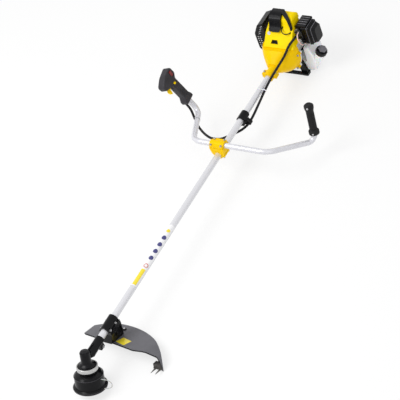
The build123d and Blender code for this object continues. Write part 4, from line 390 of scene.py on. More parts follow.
ALONG_SHAFT = (0.04, 1, 1)
MATERIALS = {
    "bright_tube": surface(
        "drawn_aluminium", (0.66, 0.66, 0.69), (0.72, 0.72, 0.75), 0.25, patch=60, grain=420,
        grain_depth=0.002, stretch=ALONG_SHAFT, Metallic=0.35,
    ),
    "bent_tube": surface(
        "bent_aluminium", (0.67, 0.67, 0.71), (0.71, 0.71, 0.75), 0.27, patch=20, grain=900,
        grain_depth=0.001, rough_spread=0.04, Metallic=0.35,
    ),
    "cast_alloy": surface(
        "cast_alloy", (0.46, 0.46, 0.46), (0.56, 0.56, 0.55), 0.42, patch=40, grain=700,
        grain_depth=0.05, edge_rub_and_light_colour=(0.74, 0.74, 0.73), Metallic=0.7,
    ),
    "steel": surface(
        "bright_steel", (0.44, 0.44, 0.45), (0.56, 0.56, 0.57), 0.32, patch=70, grain=1200,
        grain_depth=0.01, Metallic=0.75,
    ),
    "iron": surface(
        "cast_iron", (0.16, 0.16, 0.165), (0.24, 0.24, 0.24), 0.52, patch=60, grain=600,
        grain_depth=0.06, Metallic=0.8,
    ),
    "muffler_steel": surface(
        "muffler_paint", (0.035, 0.034, 0.033), (0.075, 0.068, 0.060), 0.62, patch=35, grain=800,
        grain_depth=0.05, edge_rub_and_light_colour=(0.16, 0.14, 0.12),
    ),
    "yellow_plastic": surface(
        "bright_yellow_plastic", (0.98, 0.74, 0.0), (0.95, 0.69, 0.0), 0.30, patch=12, grain=1100,
        grain_depth=0.010, edge_rub_and_light_colour=(0.99, 0.78, 0.01), edge_radius=0.0015, Specular_IOR_Level=0.07,
    ),
    "golden_plastic": surface(
        "golden_plastic", (0.95, 0.62, 0.0), (0.91, 0.56, 0.0), 0.32, patch=12, grain=1100,
        grain_depth=0.012, edge_rub_and_light_colour=(0.97, 0.68, 0.01), edge_radius=0.0015, Specular_IOR_Level=0.07,
    ),
    "control_yellow": surface(
        "control_yellow", (0.94, 0.66, 0.0), (0.90, 0.60, 0.0), 0.36, patch=30, grain=1300,
        grain_depth=0.008, edge_rub_and_light_colour=(0.97, 0.72, 0.01), Specular_IOR_Level=0.07,
    ),
    # Its lighter edge colour is a painted highlight along the edges
    "black_plastic": surface(
        "black_plastic", (0.002, 0.002, 0.003), (0.005, 0.005, 0.006), 0.22, patch=25, grain=1400,
        grain_depth=0.020, edge_rub_and_light_colour=(0.060, 0.060, 0.068), edge_radius=0.0012, Specular_IOR_Level=0.16,
    ),
    # Its lighter edge colour is a painted highlight along the edges
    "grip_plastic": surface(
        "grip_plastic", (0.030, 0.028, 0.033), (0.040, 0.038, 0.044), 0.44, patch=25, grain=1300,
        grain_depth=0.04, edge_rub_and_light_colour=(0.080, 0.078, 0.086), edge_radius=0.0012, Specular_IOR_Level=0.2,
    ),
    # Its darker edge colour is painted shade, the guard's edge thickness in shadow
    "guard_plastic": surface(
        "guard_plastic", (0.105, 0.104, 0.116), (0.130, 0.128, 0.142), 0.46, patch=10, grain=1500,
        grain_depth=0.03, edge_rub_and_light_colour=(0.008, 0.008, 0.010), edge_radius=0.0022, Specular_IOR_Level=0.35,
    ),
    "spool_plastic": surface(
        "spool_plastic", (0.15, 0.15, 0.155), (0.20, 0.20, 0.205), 0.48, patch=30, grain=1200,
        grain_depth=0.02,
    ),
    # Its lighter edge colour is a painted highlight along the edges
    "soft_grip": surface(
        "soft_rubber", (0.007, 0.007, 0.008), (0.013, 0.013, 0.014), 0.58, patch=30, grain=1000,
        grain_depth=0.05, edge_rub_and_light_colour=(0.035, 0.035, 0.038), Specular_IOR_Level=0.2,
    ),
    "red_plastic": surface(
        "red_plastic", (0.24, 0.016, 0.016), (0.18, 0.012, 0.012), 0.32, patch=40, grain=1200,
        grain_depth=0.008, edge_rub_and_light_colour=(0.40, 0.06, 0.05),
    ),
    "white_plastic": surface(
        "blown_white_plastic", (0.93, 0.93, 0.96), (0.97, 0.97, 0.99), 0.42, patch=9, grain=500,
        grain_depth=0.03, edge_radius=0.0015, Subsurface_Weight=0.25, Subsurface_Scale=0.01,
    ),
    "clear_hose": surface(
        "fuel_hose", (0.78, 0.52, 0.47), (0.84, 0.62, 0.57), 0.30, patch=60, grain=900,
        grain_depth=0.01, Subsurface_Weight=0.4, Subsurface_Scale=0.003,
    ),
    "nylon": surface(
        "nylon_line", (0.46, 0.46, 0.45), (0.56, 0.56, 0.54), 0.28, patch=80, grain=900,
        grain_depth=0.01, Subsurface_Weight=0.2, Subsurface_Scale=0.001,
    ),
    # A lighter copy of the cast alloy: painted light that lifts the crankcase out of the shade between
    # fan housing and tank
    "shade_lifted_alloy": surface(
        "shade_lifted_alloy", (0.74, 0.74, 0.74), (0.84, 0.84, 0.83), 0.46, patch=40, grain=700,
        grain_depth=0.012, Metallic=0.2,
    ),
    "dark_alloy": surface(
        "dark_alloy", (0.050, 0.050, 0.054), (0.085, 0.085, 0.088), 0.42, patch=50, grain=700,
        grain_depth=0.05, edge_rub_and_light_colour=(0.20, 0.20, 0.21), Metallic=0.5,
    ),
    # A pale grey for beads, ribs and the cap's crown on black parts: a painted highlight for light lines
    # on their edges
    "moulded_edge": surface(
        "moulded_edge", (0.110, 0.108, 0.125), (0.160, 0.156, 0.175), 0.24, patch=40, grain=1200,
        grain_depth=0.010, Specular_IOR_Level=0.4,
    ),
    "rope": surface(
        "braided_rope", (0.05, 0.05, 0.052), (0.10, 0.10, 0.10), 0.70, patch=300, grain=1600,
        grain_depth=0.25,
    ),
    "foam": surface(
        "open_foam", (0.04, 0.04, 0.042), (0.08, 0.08, 0.08), 0.85, patch=200, grain=1800,
        grain_depth=0.40,
    ),
    "label_white": surface(
        "label_white", (0.82, 0.82, 0.84), (0.86, 0.86, 0.87), 0.30, patch=30, grain=900,
        grain_depth=0.004, Coat_Weight=0.3,
    ),
    "label_grey": surface(
        "label_grey", (0.50, 0.51, 0.56), (0.58, 0.59, 0.63), 0.34, patch=60, grain=900,
        grain_depth=0.004, Coat_Weight=0.3,
    ),
    "label_yellow": surface(
        "label_yellow", (0.88, 0.72, 0.03), (0.84, 0.66, 0.03), 0.32, patch=40, grain=900,
        grain_depth=0.004, Coat_Weight=0.3,
    ),
    "label_blue": surface(
        "label_blue", (0.035, 0.035, 0.16), (0.05, 0.05, 0.20), 0.32, patch=40, grain=900,
        grain_depth=0.004, Coat_Weight=0.3,
    ),
    "label_red": surface(
        "label_red", (0.62, 0.16, 0.13), (0.68, 0.22, 0.18), 0.32, patch=40, grain=900,
        grain_depth=0.004, Coat_Weight=0.3,
    ),
}


def dress(piece, material):
    piece.data.materials.clear()
    piece.data.materials.append(MATERIALS[material])


OWN_FINISH = {
    "throttle_grip_left": "grip_plastic",
    "throttle_grip_right": "grip_plastic",
    "carburettor": "dark_alloy",
    # The lighter alloy on the crankcase is painted light against its shade
    "crankcase": "shade_lifted_alloy",
    "handlebar": "bent_tube",
}


def dress_nodes():
    """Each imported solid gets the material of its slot, apart from a few that have their own finish."""
    for part in frame["record"]["subparts"]:
        node = part["node"]
        dress(NODES[node], OWN_FINISH.get(node, part["material_slot"]))


def add_piece(name, vertices, faces, material, body="main", smooth=True):
    """A new mesh piece in the row frame that rides on a body, or on none."""
    mesh = bpy.data.meshes.new(name)
    mesh.from_pydata([tuple(v) for v in vertices], [], faces)
    mesh.validate()
    tidy = bmesh.new()
    tidy.from_mesh(mesh)
    bmesh.ops.recalc_face_normals(tidy, faces=tidy.faces)
    tidy.to_mesh(mesh)
    tidy.free()
    piece = bpy.data.objects.new(name, mesh)
    bpy.context.scene.collection.objects.link(piece)
    for polygon in mesh.polygons:
        polygon.use_smooth = smooth
    mesh.set_sharp_from_angle(angle=SHARP_ANGLE)
    dress(piece, material)
    if body:
        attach(piece, body)
    return piece


def on_shaft(along, around, rise):
    """A point on the shaft: metres along it, round from the marks' middle and above the skin."""
    angle = math.pi / 2 - (around + MARK_AROUND) / SHAFT_R
    radius = SHAFT_R + rise
    return (along, SHAFT_Y + radius * math.cos(angle), SHAFT_Z + radius * math.sin(angle))


def slab(columns, rows, point):
    """A closed thin sheet: point(i, j, upper) gives a corner of its lower or upper side."""
    vertices = []
    for upper in (0, 1):
        for i in range(columns + 1):
            for j in range(rows + 1):
                vertices.append(point(i / columns, j / rows, upper))
    side = (columns + 1) * (rows + 1)

    def at(i, j, upper):
        return upper * side + i * (rows + 1) + j

    faces = []
    for i in range(columns):
        for j in range(rows):
            for upper in (0, 1):
                corners = ((i, j), (i + 1, j), (i + 1, j + 1), (i, j + 1))
                faces.append([at(*corner, upper) for corner in corners])
    for i in range(columns):
        for j in (0, rows):
            faces.append([at(i, j, 0), at(i + 1, j, 0), at(i + 1, j, 1), at(i, j, 1)])
    for j in range(rows):
        for i in (0, columns):
            faces.append([at(i, j, 0), at(i, j + 1, 0), at(i, j + 1, 1), at(i, j, 1)])
    return vertices, faces


def shaft_strip(name, start, end, half_arc, rise, material):
    """A rectangular film round the top of the shaft."""
    half = half_arc * SHAFT_R

    def point(s, t, upper):
        return on_shaft(start + (end - start) * s, half * (2 * t - 1), rise + upper * STRIP_THICKNESS)

    add_piece(name, *slab(8, 24, point), material)


def shaft_round(name, centre, inner, outer, material):
    """A round mark, or a ring, on top of the shaft."""

    def point(s, t, upper):
        angle = 2 * math.pi * s
        radius = inner + (outer - inner) * t
        along = centre + radius * math.cos(angle)
        return on_shaft(along, radius * math.sin(angle), MARK_RISE + upper * STRIP_THICKNESS)

    weld(add_piece(name, *slab(ROUND_STEPS, 5, point), material))


def weld(piece):
    """Joins the corners that meet and drops the faces between them."""
    mesh = bmesh.new()
    mesh.from_mesh(piece.data)
    bmesh.ops.remove_doubles(mesh, verts=mesh.verts, dist=WELD_DISTANCE)
    doubled = [f for f in mesh.faces if all(len(e.link_faces) > 2 for e in f.edges)]
    bmesh.ops.delete(mesh, geom=doubled, context="FACES")
    mesh.to_mesh(piece.data)
    mesh.free()


def shaft_marks():
    """The strip on the shaft with its plain bar, dots, ring and spot."""
    shaft_strip("shaft_strip", STRIP_START, STRIP_END, STRIP_HALF_ARC, 0.0, "label_white")
    shaft_strip("shaft_bar", BAR_START, BAR_END, BAR_HALF_ARC, MARK_RISE, "label_yellow")
    for i in range(DOT_COUNT):
        shaft_round(f"shaft_dot_{i + 1}", DOT_FIRST + i * DOT_PITCH, 0.0, DOT_R, "label_blue")
    shaft_round("shaft_ring", RING_PLACE, RING_INNER_R, DOT_R, "label_red")
    shaft_round("shaft_spot", SPOT_PLACE, 0.0, SPOT_R, "label_yellow")


def tree_of(node):
    mesh = NODES[node].data
    return BVHTree.FromPolygons([v.co for v in mesh.vertices], [p.vertices for p in mesh.polygons])


def film(name, node, place, way, material, columns=8, rows=8, body="main"):
    """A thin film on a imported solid: place(s, t) is cast along a direction onto the skin."""
    skin = tree_of(node)

    def point(s, t, upper):
        spot, normal, _, _ = skin.ray_cast(place(s, t) - way, way)
        return spot + normal * (FILM_GAP + upper * STRIP_THICKNESS)

    return add_piece(name, *slab(columns, rows, point), material, body)


def guard_diamond():
    """A plain diamond film that lies on the guard's upper side."""
    first, second = (Vector((*side, 0)) for side in DIAMOND_SIDES)
    corner = Vector((*DIAMOND_CORNER, 0))

    def place(s, t):
        return corner + s * first + t * second

    film("guard_diamond", "guard", place, Vector((0, 0, -1)), "label_yellow")


def shroud_round():
    """A plain grey round on the shroud's sloping front."""
    way = -BADGE_NORMAL.normalized()
    across = Vector((0, 1, 0))
    up = across.cross(way)

    def place(s, t):
        angle = 2 * math.pi * s
        return BADGE_PLACE + t * BADGE_R * (math.cos(angle) * across + math.sin(angle) * up)

    weld(film("shroud_round", "engine_shroud", place, way, "label_grey", ROUND_STEPS, 4))


def vent_shade_screen():
    """A dark ribbed screen inside the shroud, behind its vent: painted shade that keeps the opening dark.
    """
    normal = BADGE_NORMAL.normalized()
    across = Vector((0, 1, 0))
    up = normal.cross(across)

    def point(s, t, upper):
        wave = VENT_RIB_DEPTH * math.cos(2 * math.pi * VENT_RIBS * t)
        depth = VENT_DEPTH + wave - upper * STRIP_THICKNESS
        along = (2 * s - 1) * VENT_HALF_WIDTH * across + (2 * t - 1) * VENT_HALF_HEIGHT * up
        return VENT_MIDDLE + along - depth * normal

    add_piece("vent_shade_screen", *slab(4, 40, point), "black_plastic")


def turning(axis):
    """Two directions square to an axis and to each other."""
    across = axis.orthogonal().normalized()
    return across, axis.cross(across).normalized()


def ring_faces(rings, sides, closed):
    """The faces between rings of corners that follow each other."""
    faces = []
    for i in range(rings if closed else rings - 1):
        for k in range(sides):
            j, m = (i + 1) % rings, (k + 1) % sides
            faces.append([i * sides + k, i * sides + m, j * sides + m, j * sides + k])
    return faces


def rod_faces(rings, sides):
    """The faces of a closed rod: between its rings, and at both its ends."""
    last = (rings - 1) * sides
    return ring_faces(rings, sides, False) + [list(range(sides)), list(range(last, last + sides))]


def pull_rope():
    """The starter's rope, laid from strands, which is drawn out between the engine and the handle."""
    low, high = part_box("starter_rope")
    middle = (low + high) / 2
    radius = (high.x - low.x) / 2
    vertices = []
    for i in range(ROPE_RINGS):
        share = i / (ROPE_RINGS - 1)
        for k in range(ROPE_SIDES):
            angle = 2 * math.pi * k / ROPE_SIDES
            reach = radius * (1 - ROPE_GROOVE * (1 + math.cos(ROPE_STRANDS * angle)) / 2)
            turn = angle + 2 * math.pi * ROPE_TURNS * share
            x, y = middle.x + reach * math.cos(turn), middle.y + reach * math.sin(turn)
            vertices.append((x, y, low.z + share * (high.z - low.z)))
    piece = add_piece("pull_rope", vertices, rod_faces(ROPE_RINGS, ROPE_SIDES), "rope", body=None)
    start, end = (middle.x, middle.y, low.z), (middle.x, middle.y, high.z)
    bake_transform(piece)
    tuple(start)
    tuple(end)
    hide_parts("starter_rope")


def rings_round(centre, axis, section, sides):
    """Rings of corners round an axis: each has a radius, or a function of the angle, and a height."""
    across, around = turning(axis)
    vertices = []
    for radius, height in section:
        for k in range(sides):
            angle = 2 * math.pi * k / sides
            reach = radius(angle) if callable(radius) else radius
            out = math.cos(angle) * across + math.sin(angle) * around
            vertices.append(centre + axis * height + reach * out)
    return vertices


def hoop(centre, axis, section, sides=36):
    """A closed ring round an axis, from the corners of its section."""
    return rings_round(centre, axis, section, sides), ring_faces(len(section), sides, True)


def turned(centre, axis, profile, sides=24):
    """A closed button round an axis, from (radius, height) points; its foot and top are flat."""
    return rings_round(centre, axis, profile, sides), rod_faces(len(profile), sides)


def scaled(profile, radius):
    """A profile's shares of a radius as metres."""
    return [(share * radius, height) for share, height in profile]


def gather(shells):
    """Several closed shells as one list of corners and one of faces."""
    vertices, faces = [], []
    for corners, sides in shells:
        first = len(vertices)
        vertices += corners
        faces += [[first + i for i in side] for side in sides]
    return vertices, faces


def islands(mesh):
    """The loose solids of a mesh, as lists of faces."""
    seen = set()
    for start in mesh.faces:
        if start in seen:
            continue
        seen.add(start)
        island = [start]
        for face in island:
            for edge in face.edges:
                for other in edge.link_faces:
                    if other not in seen:
                        seen.add(other)
                        island.append(other)
        yield island


def screw_tops(node):
    """The centre, direction and radius of the largest flat face on each solid of a node."""
    mesh = bmesh.new()
    mesh.from_mesh(NODES[node].data)
    bmesh.ops.remove_doubles(mesh, verts=mesh.verts, dist=WELD_DISTANCE)
    tops = []
    for island in islands(mesh):
        flats = {}
        for face in island:
            level = round(face.normal.dot(face.calc_center_median()) * 4000)
            key = (*(round(part, 2) for part in face.normal), level)
            flats.setdefault(key, []).append(face)
        largest = max(flats.values(), key=lambda faces: sum(face.calc_area() for face in faces))
        area = sum(face.calc_area() for face in largest)
        centre = sum((face.calc_area() * face.calc_center_median() for face in largest), Vector()) / area
        tops.append((centre, largest[0].normal.copy(), math.sqrt(area / math.pi)))
    mesh.free()
    return tops


def screw_sockets():
    """A hexagon socket in each cap screw: a raised rim with six flats inside, and a dark disc of painted
    shade in the recess.
    """
    rims, shade_discs = [], []
    for centre, axis, radius in screw_tops("cap_screws"):
        outer, flat = SOCKET_OUTER * radius, SOCKET_FLAT * radius

        def hexagon(angle, flat=flat):
            return flat / math.cos((angle + math.pi / 6) % (math.pi / 3) - math.pi / 6)

        rim = [(outer, 0), (outer, SOCKET_RISE), (hexagon, SOCKET_RISE), (hexagon, 0)]
        rims.append(hoop(centre, axis, rim))
        bottom = SOCKET_SHADE_FLOOR * flat
        shade_discs.append(turned(centre, axis, [(bottom, 0), (bottom, 0.1 * SOCKET_RISE)]))
    add_piece("screw_rims", *gather(rims), "steel", smooth=False)
    add_piece("screw_shade_discs", *gather(shade_discs), "muffler_steel", smooth=False)


def switch_mark():
    """A plain pale pad on the stop switch."""
    centre, normal, _ = screw_tops("stop_switch")[0]
    across, along = turning(normal)

    def place(s, t):
        return centre + (2 * s - 1) * SWITCH_PAD * across + (2 * t - 1) * SWITCH_PAD * along

    film("switch_mark", "stop_switch", place, -normal, "label_red", 4, 4, "switch")


def on_skin(node, place):
    """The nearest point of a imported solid's skin and the direction out of it."""
    spot, normal, _, _ = tree_of(node).find_nearest(Vector(place))
    return spot, normal


def buttons():
    """Small round screw heads where the photograph shows them."""
    for name, node, place, radius, material in BUTTONS:
        spot, normal = on_skin(node, place)
        head = turned(spot, normal, scaled(BUTTON_PROFILE, radius))
        add_piece(name, *head, material, smooth=False)


def tube_axis(node, place, reach):
    """The direction of a round tube near a point, square to all the skin's normals there."""
    spread_of = numpy.zeros((3, 3))
    for polygon in NODES[node].data.polygons:
        if (polygon.center - place).length < reach:
            spread_of += polygon.area * numpy.outer(polygon.normal, polygon.normal)
    return Vector(numpy.linalg.eigh(spread_of)[1][:, 0])


def bar_seam():
    """The narrow dark band round the handlebar's right leg."""
    spot, normal = on_skin("handlebar", SEAM_PLACE)
    axis = tube_axis("handlebar", spot, SEAM_REACH)
    low, high = BAR_R + SEAM_FOOT, BAR_R + SEAM_RISE
    half = SEAM_WIDTH / 2
    section = [(low, -half), (high, -half), (high, half), (low, half)]
    add_piece("bar_seam", *hoop(spot - normal * BAR_R, axis, section), "spool_plastic")


def cable_tie():
    """A flat tie round the shaft and the conduit beside it."""
    along = Vector((1, 0, 0))
    shaft = Vector((TIE_X, SHAFT_Y, SHAFT_Z))
    cord = Vector((TIE_X, *TIE_CONDUIT))
    line = cord - shaft
    ahead = line.normalized()
    side = along.cross(ahead)
    half = math.acos((SHAFT_R - CONDUIT_R) / line.length)
    turns = []
    for i in range(TIE_SHAFT_STEPS + 1):
        turns.append((shaft, SHAFT_R, half + (2 * math.pi - 2 * half) * i / TIE_SHAFT_STEPS))
    for i in range(TIE_CONDUIT_STEPS + 1):
        turns.append((cord, CONDUIT_R, -half + 2 * half * i / TIE_CONDUIT_STEPS))
    vertices = []
    for centre, radius, angle in turns:
        out = ahead * math.cos(angle) + side * math.sin(angle)
        for rise, shift in ((TIE_FOOT, -1), (TIE_FOOT, 1), (TIE_RISE, 1), (TIE_RISE, -1)):
            vertices.append(centre + out * (radius + rise) + along * shift * TIE_WIDTH / 2)
    add_piece("cable_tie", vertices, ring_faces(len(turns), 4, True), "white_plastic")


def belt(name, node, centre, axis, radius, material, body="main"):
    """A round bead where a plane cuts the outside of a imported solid."""
    skin = tree_of(node)
    across, around = turning(axis)
    line = []
    for i in range(BELT_STEPS):
        angle = 2 * math.pi * i / BELT_STEPS
        way = across * math.cos(angle) + around * math.sin(angle)
        line.append(skin.ray_cast(centre + way, -way)[0])
    vertices = []
    for i, point in enumerate(line):
        ahead = (line[(i + 1) % BELT_STEPS] - line[i - 1]).normalized()
        out = ahead.cross(axis).normalized()
        for k in range(BEAD_SIDES):
            angle = 2 * math.pi * k / BEAD_SIDES
            vertices.append(point + radius * (out * math.cos(angle) + axis * math.sin(angle)))
    add_piece(name, vertices, ring_faces(BELT_STEPS, BEAD_SIDES, True), material, body)


def joint_named(name):
    return next(j for j in frame["record"]["behaviour"]["joints"] if j["name"] == name)


def belts():
    """Beads that stand for light lines, as painted highlight: the filter box's two lips in pale grey and
    the head's two rims in the paler grip plastic.
    """
    filter_low, filter_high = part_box("filter_cover")
    filter_middle = (filter_low + filter_high) / 2
    for i, depth in enumerate(FILTER_HIGHLIGHT_LIPS):
        centre = Vector((filter_middle.x, filter_low.y + depth, filter_middle.z))
        belt(f"filter_highlight_lip_{i + 1}", "filter_cover", centre, Vector((0, 1, 0)), LIP_R, "moulded_edge")
    collar_low, collar_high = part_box("collar")
    axis = Vector(joint_named("head_spin")["axis"])
    for name, node, drop in HEAD_HIGHLIGHT_RIMS:
        centre = (collar_low + collar_high) / 2 - axis * drop
        belt(name, node, centre, axis, HEAD_HIGHLIGHT_RIM_R, "grip_plastic", "head")


def swept(points, radii, sides=16):
    """A closed round rod through points, with a radius at each."""
    vertices = []
    count = len(points)
    for i, (point, radius) in enumerate(zip(points, radii)):
        ahead = (points[min(i + 1, count - 1)] - points[max(i - 1, 0)]).normalized()
        out = ahead.cross(Vector((0, 0, 1))).normalized()
        side = out.cross(ahead)
        for k in range(sides):
            angle = 2 * math.pi * k / sides
            vertices.append(point + radius * (out * math.cos(angle) + side * math.sin(angle)))
    return vertices, rod_faces(count, sides)


def smooth_line(points, steps):
    """A curve through points, each span in equal steps, straight on at both ends."""
    before = [2 * points[0] - points[1], *points]
    after = [*points[1:], 2 * points[-1] - points[-2], 3 * points[-1] - 2 * points[-2]]
    line = []
    for a, b, c, d in zip(before, points[:-1], after, after[1:]):
        for i in range(steps):
            t = i / steps
            bend = 2 * a - 5 * b + 4 * c - d + t * (3 * b - a - 3 * c + d)
            line.append(b + 0.5 * t * (c - a + t * bend))
    return [*line, points[-1]]


def plug_boot():
    """The rubber boot that comes out of the plug cover and lies over the shroud's right shoulder; its
    black band also serves as painted shade for the shadowed gap there.
    """
    centres = []
    for place in BOOT_PLACES:
        spot, normal = on_skin("engine_shroud", place)
        centres.append(spot + normal * (BOOT_R * BOOT_LIFT))
    line = smooth_line(centres, BOOT_STEPS)
    radii = []
    for i in range(len(line)):
        share = i / (len(line) - 1)
        rib = BOOT_RIB * (share < BOOT_RIBBED_SHARE) * (i % 4 < 2)
        radii.append(BOOT_R * (BOOT_THICK_END - BOOT_TAPER * share) + rib)
    add_piece("plug_boot", *swept(line, radii), "soft_grip")


def cap_crown():
    """The six-sided crown on the fuel cap, in pale grey as a painted highlight."""
    joint = joint_named("cap_turn")
    axis = Vector(joint["axis"])
    top = tree_of("fuel_cap").ray_cast(Vector(joint["pos_m"]) + axis, -axis)[0]
    crown = turned(top, axis, scaled(CROWN_PROFILE, CROWN_R), 6)
    add_piece("cap_crown", *crown, "moulded_edge", "cap", smooth=False)


def guard_shade_bead():
    """The dark bead along the guard's front edge: painted shade for the edge's thickness in shadow."""
    skin = tree_of("guard")
    low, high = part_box("guard")
    line = []
    for i in range(GUARD_SHADE_BEAD_STEPS + 1):
        x = high.x
        y = low.y + GUARD_SHADE_BEAD_INSET + (high.y - low.y - 2 * GUARD_SHADE_BEAD_INSET) * i / GUARD_SHADE_BEAD_STEPS
        spot = None
        while spot is None and x > low.x:
            x -= GUARD_SHADE_BEAD_SEARCH
            spot = skin.ray_cast(Vector((x, y, high.z + CAST_ABOVE)), Vector((0, 0, -1)))[0]
        line.append(spot)
    add_piece("guard_shade_bead", *swept(line, [GUARD_SHADE_BEAD_R] * len(line), 10), "black_plastic")


def guard_lug():
    """The small boss with a screw beside the guard's bracket."""
    spot, normal = on_skin("guard", LUG_PLACE)
    boss = turned(spot, normal, scaled(LUG_PROFILE, LUG_R))
    add_piece("guard_lug", *boss, "black_plastic", smooth=False)
    head = turned(spot, normal, scaled(LUG_SCREW_PROFILE, LUG_R))
    add_piece("guard_lug_screw", *head, "steel", smooth=False)


def moulding(name, outline, start, end, bevel, material):
    """A block along X with a (Y, Z) outline and rounded edges."""
    count = len(outline)
    vertices = [(x, y, z) for x in (start, end) for y, z in outline]
    faces = [list(range(count)), list(range(count, 2 * count))] + ring_faces(2, count, False)
    piece = add_piece(name, vertices, faces, material, smooth=False)
    mesh = bmesh.new()
    mesh.from_mesh(piece.data)
    bmesh.ops.bevel(mesh, geom=mesh.edges[:], offset=bevel, segments=2, profile=0.5, affect="EDGES")
    mesh.to_mesh(piece.data)
    mesh.free()


def filter_hood():
    """The black hood over the carburettor, from the filter base to the shroud, with ribs on its top in
    pale grey as a painted highlight.
    """
    base_low, base_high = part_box("filter_base")
    carb_low, carb_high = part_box("carburettor")
    inner, outer = carb_low.y, base_high.y - HOOD_SEAT
    step = base_low.y - HOOD_STEP
    foot, seat = carb_high.z + HOOD_FOOT, base_high.z + HOOD_SEAT
    top = base_high.z + HOOD_RISE
    back, front = base_low.x - HOOD_BACK, base_high.x - HOOD_FRONT
    outline = [(inner, foot), (inner, top - HOOD_CHAMFER), (inner + HOOD_CHAMFER, top)]
    outline += [(outer, top), (outer, seat), (step, seat), (step, foot)]
    moulding("filter_hood", outline, back, front, HOOD_BEVEL, "black_plastic")
    left, right = inner + RIB_INNER, outer - RIB_OUTER
    bottom, crest = top - RIB_SINK, top + RIB_RISE
    rib = [(left, bottom), (left + RIB_SLOPE, crest), (right - RIB_SLOPE, crest), (right, bottom)]
    for i in range(HOOD_RIBS):
        x = back + (front - back) * (i + 1) / (HOOD_RIBS + 1)
        moulding(f"hood_rib_{i + 1}", rib, x - RIB_HALF, x + RIB_HALF, RIB_BEVEL, "moulded_edge")


def cover_liner():
    """The bright heat sheet behind the muffler cover's holes."""
    low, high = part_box("muffler_cover")
    left, right = low.y + LINER_INSET, high.y - LINER_RIGHT
    bottom, top = low.z + LINER_INSET, high.z
    outline = [(right, bottom), (left + LINER_FOOT[0], bottom), (left, bottom + LINER_FOOT[1])]
    outline += [(left, top - LINER_SIDE), (left + LINER_SHOULDER[0], top - LINER_SHOULDER[1])]
    outline += [(right, top - LINER_BACK)]
    front = high.x - LINER_DEPTH
    moulding("cover_liner", outline, front - LINER_SHEET, front, LINER_BEVEL, "steel")


def cover_lit_hole_discs():
    """White discs in the muffler cover's rows of holes: painted light for the holes' bright look."""
    low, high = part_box("muffler_cover")
    along = Vector((1, 0, 0))
    shells = []
    for row in range(LIT_HOLE_ROWS):
        for column in range(2):
            place = Vector((high.x, low.y + LIT_HOLE_FIRST.x, low.z + LIT_HOLE_FIRST.y))
            place += Vector((-LIT_HOLE_SINK, column * LIT_HOLE_PITCH, row * LIT_HOLE_PITCH))
            shells.append(turned(place, along, scaled(LIT_HOLE_PROFILE, LIT_HOLE_R)))
    add_piece("cover_lit_hole_discs", *gather(shells), "label_white", smooth=False)


def camera():
    """The camera, in the photograph's place and with its view."""
    data = bpy.data.cameras.new("camera")
    data.lens = CAMERA_LENS
    data.sensor_width = SENSOR_WIDTH
    data.clip_end = CLIP_END
    eye = bpy.data.objects.new("camera", data)
    right = CAMERA_RIGHT.normalized()
    ahead = right.cross(CAMERA_DOWN).normalized()
    up = right.cross(ahead).normalized()
    turn = Matrix((right, up, -ahead)).transposed().to_4x4()
    eye.matrix_world = Matrix.Translation(CAMERA_PLACE) @ turn
    bpy.context.scene.collection.objects.link(eye)
    bpy.context.scene.camera = eye


def background_rays(tree):
    """1 where a ray comes straight from the camera, a mirror or glass."""
    path = tree.nodes.new("ShaderNodeLightPath")
    total = path.outputs["Is Camera Ray"]
    for name in ("Is Glossy Ray", "Is Transmission Ray"):
        largest = tree.nodes.new("ShaderNodeMath")
        largest.operation = "MAXIMUM"
        link(tree, total, largest.inputs[0])
        link(tree, path.outputs[name], largest.inputs[1])
        total = largest.outputs["Value"]
    return total


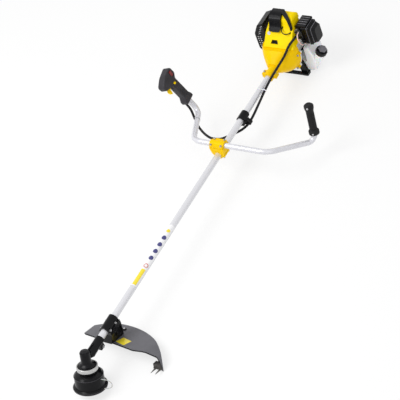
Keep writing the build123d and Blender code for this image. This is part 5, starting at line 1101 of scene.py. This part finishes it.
def floor():
    """A pale floor that looks white and keeps a part of the shadow."""
    low = CAD_BOX[0].z
    half = FLOOR_SIZE / 2
    mesh = bpy.data.meshes.new("floor")
    corners = [(-half, -half, low), (half, -half, low), (half, half, low), (-half, half, low)]
    mesh.from_pydata(corners, [], [(0, 1, 2, 3)])
    ground = bpy.data.objects.new("floor", mesh)
    bpy.context.scene.collection.objects.link(ground)
    material = bpy.data.materials.new("pale_floor")
    material.use_nodes = True
    tree, output = join_nodes(material)
    matt = tree.nodes.new("ShaderNodeBsdfDiffuse")
    matt.inputs["Color"].default_value = FLOOR_COLOUR
    white = tree.nodes.new("ShaderNodeEmission")
    blend = tree.nodes.new("ShaderNodeMixShader")
    share = tree.nodes.new("ShaderNodeMath")
    share.operation = "MULTIPLY"
    share.inputs[1].default_value = 1 - FLOOR_SHARE
    link(tree, background_rays(tree), share.inputs[0])
    link(tree, share.outputs["Value"], blend.inputs["Fac"])
    link(tree, matt.outputs["BSDF"], blend.inputs[1])
    link(tree, white.outputs["Emission"], blend.inputs[2])
    link(tree, blend.outputs["Shader"], output.inputs["Surface"])
    mesh.materials.append(material)
    ground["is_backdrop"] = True


def world():
    """Even light from all round, with white behind the object."""
    sky = bpy.data.worlds.new("studio")
    bpy.context.scene.world = sky
    sky.use_nodes = True
    tree = sky.node_tree
    tree.nodes.clear()
    output = tree.nodes.new("ShaderNodeOutputWorld")
    soft = tree.nodes.new("ShaderNodeBackground")
    soft.inputs["Strength"].default_value = WORLD_LIGHT
    white = tree.nodes.new("ShaderNodeBackground")
    for light in (soft, white):
        light.inputs["Color"].default_value = WHITE
    blend = tree.nodes.new("ShaderNodeMixShader")
    link(tree, background_rays(tree), blend.inputs["Fac"])
    link(tree, soft.outputs["Background"], blend.inputs[1])
    link(tree, white.outputs["Background"], blend.inputs[2])
    link(tree, blend.outputs["Shader"], output.inputs["Surface"])


def lamp(name, place, aim, power):
    """A square soft box that faces a point."""
    data = bpy.data.lights.new(name, "AREA")
    data.energy = power
    data.size = LAMP_SIZE
    box = bpy.data.objects.new(name, data)
    box.location = place
    box.rotation_mode = "QUATERNION"
    box.rotation_quaternion = (Vector(aim) - Vector(place)).to_track_quat("-Z", "Y")
    bpy.context.scene.collection.objects.link(box)


def lights():
    middle = (CAD_BOX[0] + CAD_BOX[1]) / 2
    for name, place, power in LAMPS:
        lamp(name, place, middle, power)


def write_sizes():
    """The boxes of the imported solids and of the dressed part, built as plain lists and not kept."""
    boxes = {"cad": CAD_BOX, "visual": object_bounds()}
    {name: [list(corner) for corner in box] for name, box in boxes.items()}


dress_nodes()
shaft_marks()
guard_diamond()
shroud_round()
vent_shade_screen()
screw_sockets()
buttons()
bar_seam()
cable_tie()
belts()
filter_hood()
cover_liner()
cover_lit_hole_discs()
plug_boot()
cap_crown()
guard_shade_bead()
guard_lug()
switch_mark()
pull_rope()
camera()
floor()
world()
lights()
bpy.context.scene.view_settings.view_transform = "Standard"
write_sizes()
